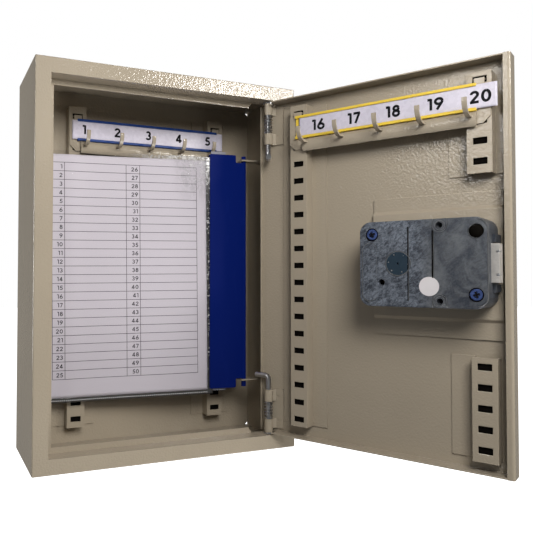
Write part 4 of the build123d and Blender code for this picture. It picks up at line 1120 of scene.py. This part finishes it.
class KEYCABINET_OT_stage(bpy.types.Operator):
    """Camera at the photograph's view, plain pale floor and soft studio light"""

    bl_idname = "keycabinet.stage"
    bl_label = "Studio"

    def execute(self, context):
        props = context.scene.key_cabinet_stage
        scene = context.scene
        scene.view_settings.view_transform = "Standard"
        camera = bpy.data.objects.new("camera", bpy.data.cameras.new("camera"))
        scene.collection.objects.link(camera)
        scene.camera = camera
        camera.location = Vector(CAMERA["at"]) * MM
        pitch, yaw, roll = (math.radians(CAMERA[k]) for k in ("pitch", "yaw", "roll"))
        look = Vector((math.sin(yaw) * math.cos(pitch), math.cos(yaw) * math.cos(pitch), math.sin(pitch)))
        level = Vector((math.cos(yaw), -math.sin(yaw), 0))
        over = level.cross(look)
        right = level * math.cos(roll) + over * math.sin(roll)
        up = over * math.cos(roll) - level * math.sin(roll)
        camera.rotation_mode = "QUATERNION"
        camera.rotation_quaternion = Matrix((right, up, -look)).transposed().to_quaternion()
        camera.data.lens = CAMERA["lens"]
        camera.data.shift_x, camera.data.shift_y = CAMERA["shift"]

        # The room sends back little light, and the camera sees it at full strength
        world = bpy.data.worlds.new("room")
        world.use_nodes = True
        tree = world.node_tree
        room = tree.nodes["Background"]
        room.inputs["Color"].default_value = (*props.backdrop, 1)
        sight = tree.nodes.new("ShaderNodeLightPath")
        strength = tree.nodes.new("ShaderNodeMapRange")
        strength.inputs["To Min"].default_value = props.room_light
        tree.links.new(sight.outputs["Is Camera Ray"], strength.inputs["Value"])
        tree.links.new(strength.outputs["Result"], room.inputs["Strength"])
        scene.world = world

        pale = {"Base Color": (0.9, 0.9, 0.9, 1), "Roughness": 0.9, "Emission Color": (1, 1, 1, 1)}
        pale["Emission Strength"] = props.floor_glow
        height = BASE - props.floor_drop
        corners = np.array([(x, y, height) for x, y in ((-1, -1), (1, -1), (1, 1), (-1, 1))])
        corners[:, :2] *= FLOOR_HALF
        floor = add_mesh("floor", corners, [[0, 1, 2, 3]], Finish("floor", pale).material)
        floor.visible_diffuse = floor.visible_glossy = floor.visible_shadow = False

        for name, at, size, share, tone, matt, shiny in LIGHTS:
            lamp = bpy.data.lights.new(name, "AREA")
            lamp.shape = "RECTANGLE"
            lamp.size, lamp.size_y = size
            lamp.energy = props.key_power * share
            lamp.color = tone
            body = bpy.data.objects.new(name, lamp)
            body.location = at
            aim = Vector(LIT_POINT) - Vector(at)
            body.rotation_mode = "QUATERNION"
            body.rotation_quaternion = aim.to_track_quat("-Z", "Y")
            body.visible_camera = False
            body.visible_diffuse, body.visible_glossy = matt, shiny
            scene.collection.objects.link(body)
        return {"FINISHED"}


# Place in millimetres, angles in degrees, and lens in millimetres
CAMERA = {
    "at": (-185.4, -533.5, -8.8),
    "pitch": 1.53,
    "yaw": 22.02,
    "roll": 0.18,
    "lens": 40.77,
    "shift": (0.178, -0.0116),
}
# Half the floor's side, and the point that all lights face, in metres
FLOOR_HALF = 12.0
LIT_POINT = (0.02, -0.12, 0.0)
# Name, place, size, share of the light's power, colour, and whether it shows in matt and in shiny surfaces
LIGHTS = (
    ("key", (0.76, -1.33, 0.56), (0.24, 0.24), 0.97, (1.0, 0.97, 0.93), True, True),
    ("door_light", (-0.05, -0.56, 0.25), (0.22, 0.22), 0.42, (1.0, 0.985, 0.97), True, False),
    ("low_light", (0.35, -0.42, -0.80), (0.50, 0.50), 0.68, (1.0, 0.985, 0.96), True, True),
    ("side_light", (-1.0, 0.75, 0.05), (0.6, 0.6), 2.3, (1.0, 0.99, 0.97), True, True),
    ("left_card", (-0.82, -0.52, 0.42), (0.12, 0.34), 0.20, (1.0, 0.98, 0.95), False, True),
    ("rear", (0.9, 1.6, 1.2), (0.8, 0.8), 2.0, (1.0, 1.0, 1.0), True, True),
)


class KEYCABINET_PT_panel(bpy.types.Panel):
    """Sizes, colours and the steps that make the scene"""

    bl_idname = "KEYCABINET_PT_panel"
    bl_label = "Key cabinet"
    bl_space_type = "VIEW_3D"
    bl_region_type = "UI"
    bl_category = "Key cabinet"

    def draw(self, context):
        for group in GROUPS:
            box = self.layout.box()
            props = getattr(context.scene, group)
            for name in props.bl_rna.properties.keys():
                if name not in ("rna_type", "name"):
                    box.prop(props, name)
        for step in STEPS:
            self.layout.operator(step.bl_idname)


GROUPS = {
    "key_cabinet_finish": KeyCabinetFinish,
    "key_cabinet_labels": KeyCabinetLabels,
    "key_cabinet_stage": KeyCabinetStage,
}
STEPS = (
    KEYCABINET_OT_stage,
    KEYCABINET_OT_finishes,
    KEYCABINET_OT_edges,
    KEYCABINET_OT_springs,
    KEYCABINET_OT_labels,
    KEYCABINET_OT_slots,
    KEYCABINET_OT_lock_details,
    KEYCABINET_OT_dial_marks,
    KEYCABINET_OT_index_flap,
)


def register():
    for name, group in GROUPS.items():
        bpy.utils.register_class(group)
        setattr(bpy.types.Scene, name, bpy.props.PointerProperty(type=group))
    for step in STEPS:
        bpy.utils.register_class(step)
    bpy.utils.register_class(KEYCABINET_PT_panel)


def unregister():
    bpy.utils.unregister_class(KEYCABINET_PT_panel)
    for step in reversed(STEPS):
        bpy.utils.unregister_class(step)
    for name, group in reversed(GROUPS.items()):
        delattr(bpy.types.Scene, name)
        bpy.utils.unregister_class(group)


def main():
    register()
    for step in STEPS:
        family, name = step.bl_idname.split(".")
        getattr(getattr(bpy.ops, family), name)()


if __name__ == "__main__":
    main()
